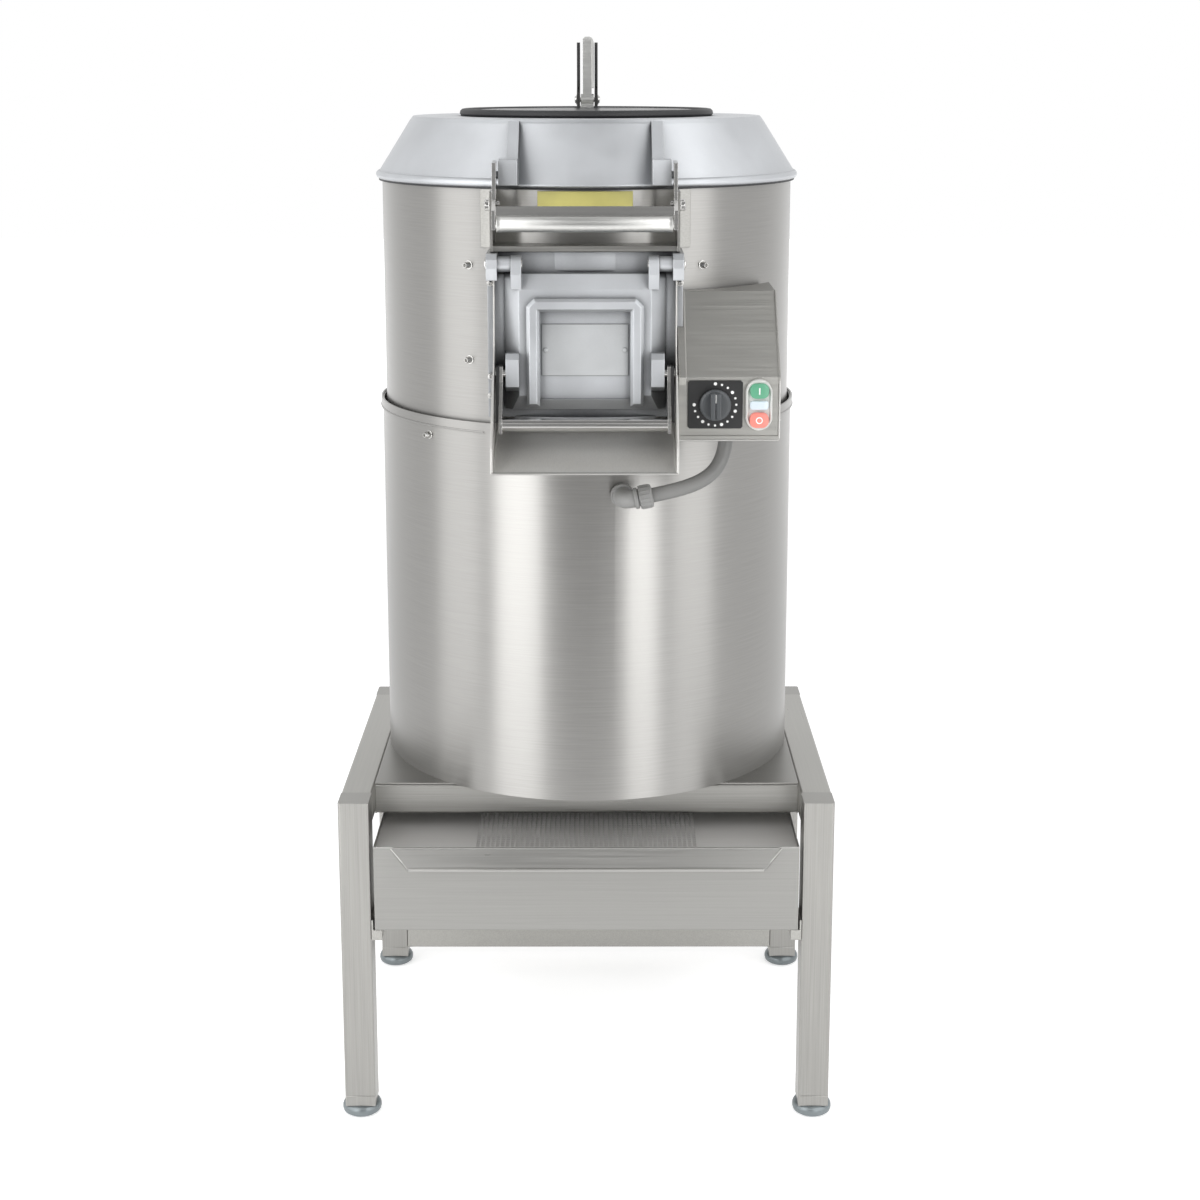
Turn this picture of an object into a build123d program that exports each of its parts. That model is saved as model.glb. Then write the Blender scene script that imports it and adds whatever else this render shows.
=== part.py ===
"""Floor-standing electric potato peeler: stand, drawer, casing, peeling tank, lid, door, controls.

Every solid is built about the vertical axis of the peeling tank, with z = 0 on the floor and the
front of the machine towards -Y.  On export the whole model is moved along Y, so that the origin
lies half way between the chute lip and the back of the lid flange.  Millimetres throughout.
"""
import math
import os

from build123d import *

# ---- clearances ----
GAP = 0.4            # between pieces that move past each other
FIT = 0.05           # radial running fit of a pin or a shaft
PAST = 5.0           # how far a cut runs past the piece that it opens

# ---- casing and tank ----
TANK_R = 240.0
CASING_STEP = 4.5    # casing radius beyond the tank
SHEET = 1.5
CASING_H = 426.0     # from the stand to the joint
TANK_H = 257.0       # from the joint to the rim of the tank
COLLAR_H = 9.0
COLLAR_T = 2.0
LINER_T = 8.0
LINER_DROP = 17.0    # lining below the rim of the tank
FLOOR_DROP = 14.0    # underside of the tank floor below the joint
FLOOR_T = 6.0

# ---- stand ----
TUBE = 35.0          # square tube
TUBE_WALL = 2.0
TUBE_ROUND = 2.5
STAND_SIDE = 35.0    # legs beyond the side of the casing
STAND_FRONT = 8.5    # front legs beyond the front of the casing
FRAME_D = 430.0      # over the legs, front to back
BASE_Z = 384.0       # top of the stand, where the casing stands
FOOT_H = 27.0
FOOT_R = 22.5
DECK_T = 2.0
CROSSBAR_IN = 66.0   # front crossbar behind the front of the legs

# ---- drawer ----
RUNNER_Z = 220.0
RUNNER = 12.0
DRAWER_H = 99.0
DRAWER_T = 1.5
DRAWER_SIDE_GAP = 4.0
FILTER_W = 216.0     # perforated part of the filter plate
FILTER_PITCH = 36.0
FILTER_HOLE = 12.0
FILTER_DROP = 4.0
FILTER_BACK = 60.0   # open strip behind the filter plate
GRIP_IN = 20.0       # end of the grip from the side of the drawer
GRIP_OUT = 15.0
GRIP_DROP = 19.0
GRIP_SLANT = 21.0
GRIP_T = 3.0

# ---- drive ----
SHAFT_R = 15.0
DISC_SIDE = 7.5      # between the peeling disc and the lining
DISC_T = 14.0
DISC_GAP = 8.0       # between the floor and the peeling disc
DISC_WAVE = 8.0      # height of the waves on the disc
WAVE_R = 38.0
WAVES = 3
BOSS_R = 28.0
BEARING_R = 31.0
BEARING_T = 16.0
HOUSING_R = 42.0
HOUSING_H = 90.0
DRIVEN_R = 110.0
DRIVER_R = 38.0
PULLEY_T = 24.0
PULLEY_RIM = 3.0     # flange of a pulley
BELT_T = 8.0
MOTOR_WALL = 20.0    # between the motor and the casing
MOTOR_R = 58.0
MOTOR_H = 190.0
MOTOR_SHAFT_R = 9.5
MOTOR_PLATE_T = 3.0
FINS = 12
FIN = 5.0
DRAIN_R = 27.0
DRAIN_IN = 90.0      # drain axis from the side of the tank
DRAIN_DROP = 34.0    # drain end below the top of the stand

# ---- lid ----
GASKET_T = 2.0
GASKET_W = 12.0
FLANGE_OVER = 6.0   # flange beyond the tank
FLANGE_H = 9.0
LID_H = 71.0         # from the underside of the flange to the top of the lid
LID_LEAN = 43.0      # how far the cone of the lid leans in
LID_LAND = 55.0      # flat top between the cone and the rim of the hatch
LID_T = 4.0
RIM_H = 7.0
RIM_T = 9.0
HATCH_T = 5.0
RIB_X = 71.0         # inner side of a lid rib
RIB_W = 12.0
RIB_FOOT_W = 20.0
RIB_FOOT_H = 27.0
RIB_OVER = 20.0       # ribs beyond the flange
PANEL_OVER = 7.0     # panel between the ribs beyond the flange
HATCH_AXIS_OUT = 10.0
HATCH_AXIS_UP = 16.0
LEVER_H = 77.0
LEVER_W = 11.0
CHEEK_T = 4.0
CHEEK_IN = 9.0
CHEEK_H = 86.0

# ---- lid bail ----
BAIL_OUT = 24.0      # pivot axis in front of the tank
BAIL_DROP = 14.0     # pivot axis below the rim of the tank
BAIL_X = 93.0        # inner side of a bail plate
BAIL_T = 4.0
BAIL_REACH = 30.0    # top of the bail plates above the flange
BAIL_BAR_OUT = 26.0  # bar in front of the pivot axis
BAIL_BAR_DROP = 18.0
BAIL_BAR_R = 6.5
BRACKET_T = 3.0
BRACKET_UP = 14.0    # bracket above the pivot axis
BRACKET_DOWN = 49.0
BRACKET_FOOT = 16.0
CATCH_R = 4.0        # pin of the lid that the bail hooks over
PIVOT_R = 4.0
PIVOT_HEAD_R = 6.0
PIVOT_HEAD_T = 5.0

# ---- discharge door and chute ----
HINGE_OUT = 37.0     # hinge axis in front of the tank
HINGE_DROP = 75.0    # hinge axis below the rim of the tank
HINGE_R = 5.0
KNUCKLE_R = 8.0
EAR_OUT = 104.0
EAR_IN = 92.0
ARM_IN = 67.0
ARM_OUT = 78.0
ARM_R = 9.0
BRIDGE_X = 60.0      # half width of the bowed bridge between the hinge arms
BRIDGE_OUT = 20.0
BRIDGE_H = 20.0
DOOR_X = 86.0        # half width of the door
DOOR_FACE_X = 70.0   # half width of its front face
DOOR_LOW = 26.0      # lower edge above the joint
DOOR_BACK = 23.0     # back of the door in front of the tank
DOOR_T = 16.0
DOOR_SHELL = 6.0
BEAD_X = 62.0        # half width over the raised bead
BEAD_W = 14.0
BEAD_T = 8.0
BEAD_DROP = 36.0     # top of the bead below the hinge axis
BEAD_LOW = 31.0
RECESS_D = 5.0
RECESS_LOW = 38.0
PLATE_X = 46.0
PLATE_UP = 63.0      # lower edge above the joint
PLATE_DROP = 28.0    # upper edge below the top of the bead
PLATE_T = 1.0
RIVET_R = 2.2
RIVET_IN = 4.0
OPEN_X = 76.0        # half width of the discharge opening
OPEN_UP = 38.0       # lower edge above the joint
OPEN_DROP = 28.0     # upper edge below the hinge axis
FRAME_UP = 16.0      # lower edge above the joint
FRAME_DROP = 12.0    # upper edge below the hinge axis
SILL_OUT = 31.0
SILL_T = 5.0
DOOR_SEAL = 3.0
LUG_X = (70.0, 84.0)
LUG_UP = (47.0, 88.0)
LUG_T = 12.0
DBAIL_OUT = 44.0     # pivot axis of the door bail in front of the tank
DBAIL_UP = 67.0
DBAIL_BAR_OUT = 28.0
DBAIL_BAR_DROP = 51.0
DBAIL_BAR_R = 7.0
DBAIL_T = 3.6
PAD_T = 3.4
CHUTE_X = 98.0       # over a cheek of the chute at the tank
LIP_X = 96.2         # over a cheek at the lip
LIP_OUT = 125.0
LIP_DROP = 26.0      # lip below the joint
LIP_H = 26.0
CHUTE_T = 1.5
CHUTE_DROP = 18.0    # top of the cheeks below the hinge axis
CHEEK_STEP = 70.0    # front corner of the cheeks below their top
CHUTE_RISE = 34.0    # rise of the chute floor from the lip to the tank

# ---- control box ----
BOX_W = 107.0
BOX_GAP = 0.6        # between the chute and the box
BOX_OUT = 60.0       # front of the box before the tank
BOX_UP = (1.0, 65.0)
BOX_TOP_UP = 148.0
BOX_TOP_IN = 13.0    # upper edge of the slope behind the front of the tank
BOX_BACK = 145.0
BOX_T = 1.5
BOX_EDGE = 8.0       # flange along the left side of the slope
BOX_LIP = 4.0
DIAL_W = 58.0
DIAL_H = 51.0
DIAL_T = 2.0
DIAL_IN = 38.5       # dial centre from the left side of the box
CONTROL_UP = 36.0
KNOB_R = 18.5
KNOB_T = 6.0
KNOB_GRIP_W = 12.0
KNOB_H = 17.0
KNOB_STEM_R = 3.5
TIMER = 40.0
TIMER_D = 32.0
SWITCH_IN = 84.5
SWITCH_W = 28.0
SWITCH_H = 54.0
SWITCH_T = 7.0
BUTTON_W = 20.0
BUTTON_H = 16.0
BUTTON_OUT = 3.5
BUTTON_TRAVEL = 3.0
BUTTON_OFF = 15.5    # button centre above or below the middle
CORNER = 5.0
LENS_H = 10.0
CONDUIT_R = 8.0
CONDUIT_IN = 53.0
CONDUIT_OUT = 22.0
CONDUIT_FALL = 24.0
ELBOW_X = 40.0
ELBOW_DROP = 73.0    # elbow below the joint
ELBOW_OUT = 33.5
NUT_R = 13.0
NUT_H = 16.0
STUD_R = 5.0
STUD_OUT = 6.0

# ---- levels and positions that follow from them ----
CASING_R = TANK_R + CASING_STEP
HALF_W = CASING_R + STAND_SIDE
INNER_X = HALF_W - TUBE
FRONT_Y = -CASING_R - STAND_FRONT
REAR_Y = FRONT_Y + FRAME_D
CROSSBAR_Y = FRONT_Y + CROSSBAR_IN
JOINT_Z = BASE_Z + CASING_H
TANK_TOP_Z = JOINT_Z + TANK_H
FLOOR_Z = JOINT_Z - FLOOR_DROP
FLOOR_TOP_Z = FLOOR_Z + FLOOR_T
DISC_Z = FLOOR_TOP_Z + DISC_GAP
DISC_R = TANK_R - SHEET - LINER_T - DISC_SIDE
MOTOR_Y = CASING_R - SHEET - MOTOR_R - MOTOR_WALL
DRAIN_X = -TANK_R + DRAIN_IN
DRAWER_Z = RUNNER_Z + RUNNER + GAP
DRAWER_X = INNER_X - DRAWER_SIDE_GAP
DRAWER_BACK_Y = REAR_Y - TUBE - DRAWER_SIDE_GAP
FLANGE_R = TANK_R + FLANGE_OVER
FLANGE_Z = TANK_TOP_Z + GASKET_T
LID_R = FLANGE_R - LID_LEAN
LID_Z = FLANGE_Z + LID_H
RIM_R = LID_R - LID_LAND
HATCH_AXIS_Y = RIM_R + HATCH_AXIS_OUT
HATCH_AXIS_Z = LID_Z + HATCH_AXIS_UP
BAIL_Y = -TANK_R - BAIL_OUT
BAIL_Z = TANK_TOP_Z - BAIL_DROP
BAIL_TOP_Z = FLANGE_Z + BAIL_REACH
BAIL_BAR_Y = BAIL_Y - BAIL_BAR_OUT
BAIL_BAR_Z = BAIL_Z - BAIL_BAR_DROP
HINGE_Y = -TANK_R - HINGE_OUT
HINGE_Z = TANK_TOP_Z - HINGE_DROP
DOOR_BACK_Y = -TANK_R - DOOR_BACK
DOOR_FRONT_Y = DOOR_BACK_Y - DOOR_T
DBAIL_Y = -TANK_R - DBAIL_OUT
DBAIL_Z = JOINT_Z + DBAIL_UP
DBAIL_BAR_Y = DBAIL_Y - DBAIL_BAR_OUT
DBAIL_BAR_Z = DBAIL_Z - DBAIL_BAR_DROP
OPEN_Z = (JOINT_Z + OPEN_UP, HINGE_Z - OPEN_DROP)
FRAME_Z = (JOINT_Z + FRAME_UP, HINGE_Z - FRAME_DROP)
LUG_Z = tuple(JOINT_Z + up for up in LUG_UP)
BEAD_Z = HINGE_Z - BEAD_DROP
PLATE_Z = (JOINT_Z + PLATE_UP, BEAD_Z - PLATE_DROP)
LIP_Y = -TANK_R - LIP_OUT
LIP_Z = JOINT_Z - LIP_DROP
BOX_FRONT_Y = -TANK_R - BOX_OUT
BOX_Z = tuple(JOINT_Z + up for up in BOX_UP)
BOX_TOP_Z = JOINT_Z + BOX_TOP_UP
BOX_TOP_Y = -TANK_R + BOX_TOP_IN
BOX_X = (CHUTE_X + BOX_GAP, CHUTE_X + BOX_GAP + BOX_W)
DIAL_X = BOX_X[0] + DIAL_IN
SWITCH_X = BOX_X[0] + SWITCH_IN
CONTROL_Z = JOINT_Z + CONTROL_UP
CONDUIT_X = BOX_X[0] + CONDUIT_IN
CONDUIT_Y = -TANK_R - CONDUIT_OUT
ELBOW_Y = -CASING_R - ELBOW_OUT
ELBOW_Z = JOINT_Z - ELBOW_DROP
ORIGIN_Y = (LIP_Y + FLANGE_R) / 2
FAR = 2 * TANK_TOP_Z     # longer than any piece


# ---- helpers ----
def block(x, y, z):
    """Box from three (low, high) pairs."""
    size = [abs(pair[1] - pair[0]) for pair in (x, y, z)]
    middle = [(pair[0] + pair[1]) / 2 for pair in (x, y, z)]
    return Pos(*middle) * Box(*size)


def upright(radius, low, high, x=0.0, y=0.0):
    """Vertical cylinder between two heights."""
    return Pos(x, y, (low + high) / 2) * Cylinder(radius, high - low)


def pipe(outer, wall, low, high, x=0.0, y=0.0):
    """Vertical tube between two heights."""
    return upright(outer, low, high, x, y) - upright(outer - wall, low, high, x, y)


def along_x(radius, low, high, y, z):
    """Cylinder parallel to X."""
    return Pos((low + high) / 2, y, z) * Rot(0, 90, 0) * Cylinder(radius, high - low)


def along_y(radius, low, high, x, z):
    """Cylinder parallel to Y."""
    return Pos(x, (low + high) / 2, z) * Rot(90, 0, 0) * Cylinder(radius, high - low)


def side_profile(points, low, high):
    """Outline in the YZ plane, extruded along X between two values."""
    face = make_face(Polyline(*[(y, z) for y, z in points], close=True))
    return Pos(low, 0, 0) * extrude(Plane.YZ * face, high - low)


def both_sides(shape):
    """The shape and its mirror image across the middle plane."""
    return [shape, mirror(shape, Plane.YZ)]


def joined(shapes):
    """Fuse shapes that touch into one solid."""
    result = shapes[0]
    for shape in shapes[1:]:
        result = result + shape
    return result


def turned(points):
    """Solid of revolution about the tank axis, from (radius, z) points."""
    face = make_face(Polyline(*points, close=True))
    return revolve(Plane.XZ * face, Axis.Z)


NODES = {}


def keep(name, *shapes):
    """File one node, made of one or more separate solids."""
    solids = []
    for shape in shapes:
        solids.extend(shape.solids())
    moved = [Pos(0, -ORIGIN_Y, 0) * solid for solid in solids]
    NODES[name] = moved[0] if len(moved) == 1 else Compound(children=moved)


# ---- stand ----
def square_tube(length):
    """Hollow square tube lying along Z, centred."""
    outer = RectangleRounded(TUBE, TUBE, TUBE_ROUND)
    inner = Rectangle(TUBE - 2 * TUBE_WALL, TUBE - 2 * TUBE_WALL)
    return Pos(0, 0, -length / 2) * extrude(outer - inner, length)


def leg(x, y):
    """Leg with a welded cap on its top end."""
    tube = square_tube(BASE_Z - TUBE_WALL - FOOT_H)
    cap = extrude(RectangleRounded(TUBE, TUBE, TUBE_ROUND), TUBE_WALL)
    middle = (BASE_Z - TUBE_WALL + FOOT_H) / 2
    return Pos(x, y, middle) * tube + Pos(x, y, BASE_Z - TUBE_WALL) * cap


def foot(x, y):
    """Domed glide with a neck that plugs the tube."""
    neck = TUBE / 2 - TUBE_WALL
    outline = [(0, 0), (FOOT_R, 0), (FOOT_R, FOOT_H * 0.25), (neck, FOOT_H * 0.65), (neck, FOOT_H),
               (neck - 2, FOOT_H), (neck - 2, 1.5 * FOOT_H), (0, 1.5 * FOOT_H)]
    return Pos(x, y, 0) * turned(outline)


def bar_x(y, z, half):
    """Square tube along X, centred on a point."""
    return Pos(0, y, z) * Rot(0, 90, 0) * square_tube(2 * half)


def stand():
    leg_x = HALF_W - TUBE / 2
    sides = (-leg_x, leg_x)
    rows = {"front": FRONT_Y + TUBE / 2, "rear": REAR_Y - TUBE / 2}
    for row, y in rows.items():
        keep(f"legs_{row}", *[leg(x, y) for x in sides])
    keep("levelling_feet", *[foot(x, y) for y in rows.values() for x in sides])
    rail = Rot(90, 0, 0) * square_tube(FRAME_D - 2 * TUBE)
    rail_z = BASE_Z - TUBE / 2
    keep("side_rails", *[Pos(x, (FRONT_Y + REAR_Y) / 2, rail_z) * rail for x in sides])
    bar_z = BASE_Z - DECK_T - TUBE / 2
    keep("crossbar_front", bar_x(CROSSBAR_Y + TUBE / 2, bar_z, INNER_X))
    keep("crossbar_rear", bar_x(rows["rear"], bar_z, INNER_X))
    keep("lower_bar_rear", bar_x(rows["rear"], FOOT_H + TUBE / 2, INNER_X))
    deck = block((-INNER_X, INNER_X), (CROSSBAR_Y, REAR_Y), (BASE_Z - DECK_T, BASE_Z))
    keep("deck_plate", deck - upright(DRAIN_R + GAP, 0, FAR, DRAIN_X))


def runners():
    """Angle section under each side of the drawer, welded to the legs."""
    web = block((INNER_X - DECK_T, INNER_X), (FRONT_Y, REAR_Y), (RUNNER_Z, RUNNER_Z + 2 * RUNNER))
    ledge = block((INNER_X - RUNNER, INNER_X), (FRONT_Y, REAR_Y), (RUNNER_Z, RUNNER_Z + RUNNER))
    keep("drawer_runners", *both_sides(web + ledge))


def drawer():
    """Open pan with a folded grip along its front edge, and a perforated filter plate on top."""
    top = DRAWER_Z + DRAWER_H
    outer = block((-DRAWER_X, DRAWER_X), (FRONT_Y, DRAWER_BACK_Y), (DRAWER_Z, top))
    inner = block((-DRAWER_X + DRAWER_T, DRAWER_X - DRAWER_T),
                  (FRONT_Y + DRAWER_T, DRAWER_BACK_Y - DRAWER_T), (DRAWER_Z + DRAWER_T, top + PAST))
    grip = side_profile([(FRONT_Y + DRAWER_T, top), (FRONT_Y - GRIP_OUT, top - GRIP_DROP),
                         (FRONT_Y - GRIP_OUT, top - GRIP_DROP - GRIP_T), (FRONT_Y, top - GRIP_T)],
                        -DRAWER_X + GRIP_IN, DRAWER_X - GRIP_IN)
    for side in (-1, 1):
        corner = side * (DRAWER_X - GRIP_IN)
        wedge = make_face(Polyline((corner, FRONT_Y), (corner, FRONT_Y - GRIP_OUT - 1),
                                   (corner - side * GRIP_SLANT, FRONT_Y - GRIP_OUT - 1), close=True))
        grip = grip - Pos(0, 0, top - 2 * GRIP_DROP) * extrude(wedge, 3 * GRIP_DROP)
    keep("drawer_pan", outer - inner + grip)
    keep("drawer_filter", filter_plate(top))


def filter_plate(top):
    """Filter plate over the pan, perforated in its middle, with turned-up ends and an open strip behind."""
    half = DRAWER_X - DRAWER_T
    low_y = FRONT_Y + DRAWER_T
    high_y = DRAWER_BACK_Y - DRAWER_T - FILTER_BACK
    level = top - FILTER_DROP - DRAWER_T
    plate = block((-half, half), (low_y, high_y), (level, level + DRAWER_T))
    for y in (low_y, high_y - DRAWER_T):
        plate = plate + block((-half, half), (y, y + DRAWER_T), (level, top))
    across = int(FILTER_W // FILTER_PITCH) + 1
    deep = int((high_y - low_y - FILTER_PITCH) // FILTER_PITCH)
    middle = Pos(0, (low_y + high_y) / 2, level)
    holes = GridLocations(FILTER_PITCH, FILTER_PITCH, across, deep)
    return plate - [middle * place * Box(FILTER_HOLE, FILTER_HOLE, 4 * DRAWER_T) for place in holes]


# ---- casing and tank ----
def door_cut():
    """Block that opens the tank wall, its lining and the door frame for the potatoes."""
    return block((-OPEN_X, OPEN_X), (-2 * TANK_R, -TANK_R / 2), OPEN_Z)


def casing():
    low_shell = pipe(CASING_R, SHEET, BASE_Z, JOINT_Z)
    keep("lower_casing", low_shell - along_y(CONDUIT_R, -2 * CASING_R, 0, ELBOW_X, ELBOW_Z))
    base = upright(CASING_R - SHEET, BASE_Z, BASE_Z + SHEET)
    keep("casing_base", base - upright(DRAIN_R + GAP, 0, FAR, DRAIN_X))
    low, high = JOINT_Z - COLLAR_H, JOINT_Z + COLLAR_T
    collar = pipe(CASING_R + COLLAR_T, COLLAR_T, low, high)
    keep("joint_collar", collar - block((-EAR_OUT - GAP, BOX_X[1] + GAP), (-2 * CASING_R, 0),
                                        (low - PAST, high + PAST)))
    tank = pipe(TANK_R, SHEET, FLOOR_Z, TANK_TOP_Z)
    keep("upper_tank", tank - door_cut())
    liner = pipe(TANK_R - SHEET, LINER_T, FLOOR_TOP_Z, TANK_TOP_Z - LINER_DROP)
    keep("abrasive_liner", liner - door_cut())
    floor = upright(TANK_R - SHEET, FLOOR_Z, FLOOR_TOP_Z)
    floor = floor - upright(HOUSING_R, 0, FAR) - upright(DRAIN_R, 0, FAR, DRAIN_X)
    keep("tank_floor", floor)
    keep("drain_pipe", pipe(DRAIN_R, SHEET, BASE_Z - DRAIN_DROP, FLOOR_TOP_Z, DRAIN_X))


# ---- drive ----
def peeling_disc():
    """Cast disc whose upper face rises in rounded waves."""
    top = DISC_Z + DISC_T
    disc = upright(DISC_R, DISC_Z, top)
    axis_z = top + DISC_WAVE - WAVE_R
    waves = [Rot(0, 0, index * 360 / WAVES) * along_x(WAVE_R, BOSS_R / 2, DISC_R - DISC_SIDE, 0, axis_z)
             for index in range(WAVES)]
    raised = joined(waves) & upright(DISC_R - DISC_SIDE, top, top + DISC_T)
    boss = upright(BOSS_R, top, top + DISC_WAVE)
    keep("peeling_disc", disc + raised + boss - upright(SHAFT_R, 0, top))


def drive():
    peeling_disc()
    housing_low = FLOOR_TOP_Z - HOUSING_H
    pulley_z = housing_low - PULLEY_T - 2 * GASKET_T
    keep("main_shaft", upright(SHAFT_R, pulley_z, DISC_Z + DISC_T))
    housing = upright(HOUSING_R, housing_low, FLOOR_TOP_Z)
    housing = housing - upright(SHAFT_R + 3, 0, FAR)
    seal_t = BEARING_T / 2
    seats = [housing_low, FLOOR_TOP_Z - BEARING_T - seal_t]
    housing = housing - upright(BEARING_R, 0, housing_low + BEARING_T) - upright(BEARING_R, seats[1], FAR)
    keep("bearing_housing", housing)
    race = BEARING_R - SHAFT_R - FIT
    keep("shaft_bearings", *[pipe(BEARING_R, race, seat, seat + BEARING_T) for seat in seats])
    keep("shaft_seal", pipe(BEARING_R, race, FLOOR_TOP_Z - seal_t, FLOOR_TOP_Z))
    keep("driven_pulley", pulley(DRIVEN_R, SHAFT_R, pulley_z, 0))
    keep("driver_pulley", pulley(DRIVER_R, MOTOR_SHAFT_R, pulley_z, MOTOR_Y))
    keep("drive_belt", belt(pulley_z))
    motor_top = pulley_z - MOTOR_SHAFT_R
    middle = motor_top - MOTOR_H / 2
    keep("motor_shaft", upright(MOTOR_SHAFT_R, middle, pulley_z + PULLEY_T, 0, MOTOR_Y))
    body = upright(MOTOR_R, motor_top - MOTOR_H, motor_top, 0, MOTOR_Y)
    fins = [Pos(0, MOTOR_Y, middle) * place * Box(FIN, FIN, MOTOR_H - 8 * FIN)
            for place in PolarLocations(MOTOR_R, FINS)]
    bore = upright(MOTOR_SHAFT_R + FIT, middle, motor_top + PAST, 0, MOTOR_Y)
    keep("motor", joined([body] + fins) - bore)
    plate = upright(CASING_R - SHEET, motor_top - MOTOR_PLATE_T, motor_top)
    keep("motor_plate", plate - upright(MOTOR_R, 0, FAR, 0, MOTOR_Y) - upright(DRAIN_R, 0, FAR, DRAIN_X))


def pulley(radius, bore, low, y):
    """Flat belt pulley with two flanges."""
    wheel = upright(radius, low, low + PULLEY_T, 0, y)
    groove = pipe(radius + PAST, BELT_T / 2 + PAST + GAP, low + PULLEY_RIM, low + PULLEY_T - PULLEY_RIM, 0, y)
    return wheel - groove - upright(bore, 0, FAR, 0, y)


def belt(low):
    """Closed belt round both pulleys."""
    def loop(extra):
        big = DRIVEN_R - BELT_T / 2 + extra
        small = DRIVER_R - BELT_T / 2 + extra
        lean = math.acos((big - small) / MOTOR_Y)
        outline = []
        for side in (1, -1):
            x, y = math.sin(lean) * side, math.cos(lean)
            outline.append((big * x, big * y))
            outline.append((small * x, MOTOR_Y + small * y))
        quad = make_face(Polyline(outline[0], outline[1], outline[3], outline[2], close=True))
        return quad + Circle(big) + Pos(0, MOTOR_Y) * Circle(small)
    ring = loop(BELT_T) - loop(0)
    return Pos(0, 0, low + PULLEY_RIM + GAP) * extrude(ring, PULLEY_T - 2 * PULLEY_RIM - 2 * GAP)


# ---- lid and loading hatch ----
def lid_inside():
    """Hollow of the lid."""
    return turned([(0, 0), (TANK_R - LID_T / 2, 0), (TANK_R - LID_T / 2, FLANGE_Z + FLANGE_H / 2),
                   (LID_R - LID_T / 2, LID_Z - LID_T), (0, LID_Z - LID_T)])


def lid():
    """Cast cone with a flange, a loading hole, and a panel between two ribs on its front."""
    low, high = FLANGE_Z, FLANGE_Z + FLANGE_H
    cone = turned([(0, low), (FLANGE_R - 2, low), (FLANGE_R, low + 2), (FLANGE_R, high - 2),
                   (FLANGE_R - 3, high), (LID_R + 4, LID_Z - 5), (LID_R, LID_Z), (0, LID_Z)])
    front = -FLANGE_R - RIB_OVER
    rib = side_profile([(-LID_R, LID_Z - LID_T), (-LID_R + RIB_W, LID_Z - LID_T / 2), (-LID_R, LID_Z - LID_T / 2),
                        (front, LID_Z - LID_H * 0.75), (front, low + LID_T), (-TANK_R, low + LID_T)],
                       RIB_X, RIB_X + RIB_W)
    foot_top = low + LID_T + RIB_FOOT_H
    rib_foot = block((RIB_X, RIB_X + RIB_FOOT_W), (front, -TANK_R), (low + LID_T, foot_top))
    panel_r = FLANGE_R + PANEL_OVER
    panel = turned([(0, low + 2), (panel_r, low + 2), (panel_r, low + LID_T), (LID_R + PANEL_OVER, LID_Z - LID_T),
                    (0, LID_Z - LID_T)]) & block((-RIB_X, RIB_X), (-2 * FLANGE_R, 0), (low, LID_Z))
    pin = along_x(CATCH_R, RIB_X, BAIL_X + BAIL_T, BAIL_Y + CATCH_R, BAIL_TOP_Z - 15)
    body = joined([cone, panel] + both_sides(rib + rib_foot + pin))
    keep("lid", body - lid_inside() - upright(RIM_R - RIM_T - 3, 0, FAR))
    keep("lid_gasket", pipe(TANK_R + LID_T, GASKET_W, TANK_TOP_Z, FLANGE_Z))


def hatch():
    """Rubber rim, stiff cover, lever with its hinge, and the bracket that carries them."""
    level = LID_Z
    inner_r = RIM_R - RIM_T
    top = level + RIM_H
    keep("hatch_rim", pipe(RIM_R, RIM_T, level + GAP, top + GAP))
    keep("hatch_cover", upright(inner_r, top + GAP - 1 - HATCH_T, top + GAP - 1))
    half = CHEEK_IN - 1
    tongue = block((-half, half), (inner_r - RIM_T, HATCH_AXIS_Y), (top + GAP, top + CHEEK_T))
    heel = block((-half, half), (inner_r - RIM_T, inner_r - 1), (top + GAP - 1, top + GAP))
    barrel = along_x(RIM_H, -half, half, HATCH_AXIS_Y, HATCH_AXIS_Z)
    lever = block((-LEVER_W / 2, LEVER_W / 2), (HATCH_AXIS_Y - LEVER_W / 2, HATCH_AXIS_Y + LEVER_W / 2),
                  (HATCH_AXIS_Z, HATCH_AXIS_Z + LEVER_H))
    lever = chamfer(lever.edges().group_by(Axis.Z)[-1], LEVER_W / 4)
    bore = along_x(PIVOT_R - 1 + FIT, -FAR, FAR, HATCH_AXIS_Y, HATCH_AXIS_Z)
    keep("hatch_lever", joined([tongue, heel, barrel, lever]) - bore)
    behind = HATCH_AXIS_Y + HATCH_AXIS_UP
    cheek_top = level + CHEEK_H
    cheek = side_profile([(HATCH_AXIS_Y - RIM_H, level), (behind, level), (behind, cheek_top - CHEEK_T),
                          (behind - CHEEK_T, cheek_top), (HATCH_AXIS_Y + CHEEK_T, cheek_top),
                          (HATCH_AXIS_Y + RIM_H, level + 2 * HATCH_AXIS_UP),
                          (HATCH_AXIS_Y - RIM_H, level + 1.5 * HATCH_AXIS_UP)], CHEEK_IN, CHEEK_IN + CHEEK_T)
    outer = CHEEK_IN + CHEEK_T
    back = block((-outer, outer), (behind, behind + CHEEK_T), (level, level + RIM_H))
    pin = along_x(PIVOT_R - 1, -outer - 2, outer + 2, HATCH_AXIS_Y, HATCH_AXIS_Z)
    keep("hatch_hinge_bracket", joined(both_sides(cheek) + [back]) - pin)
    keep("hatch_hinge_pin", pin)


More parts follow.
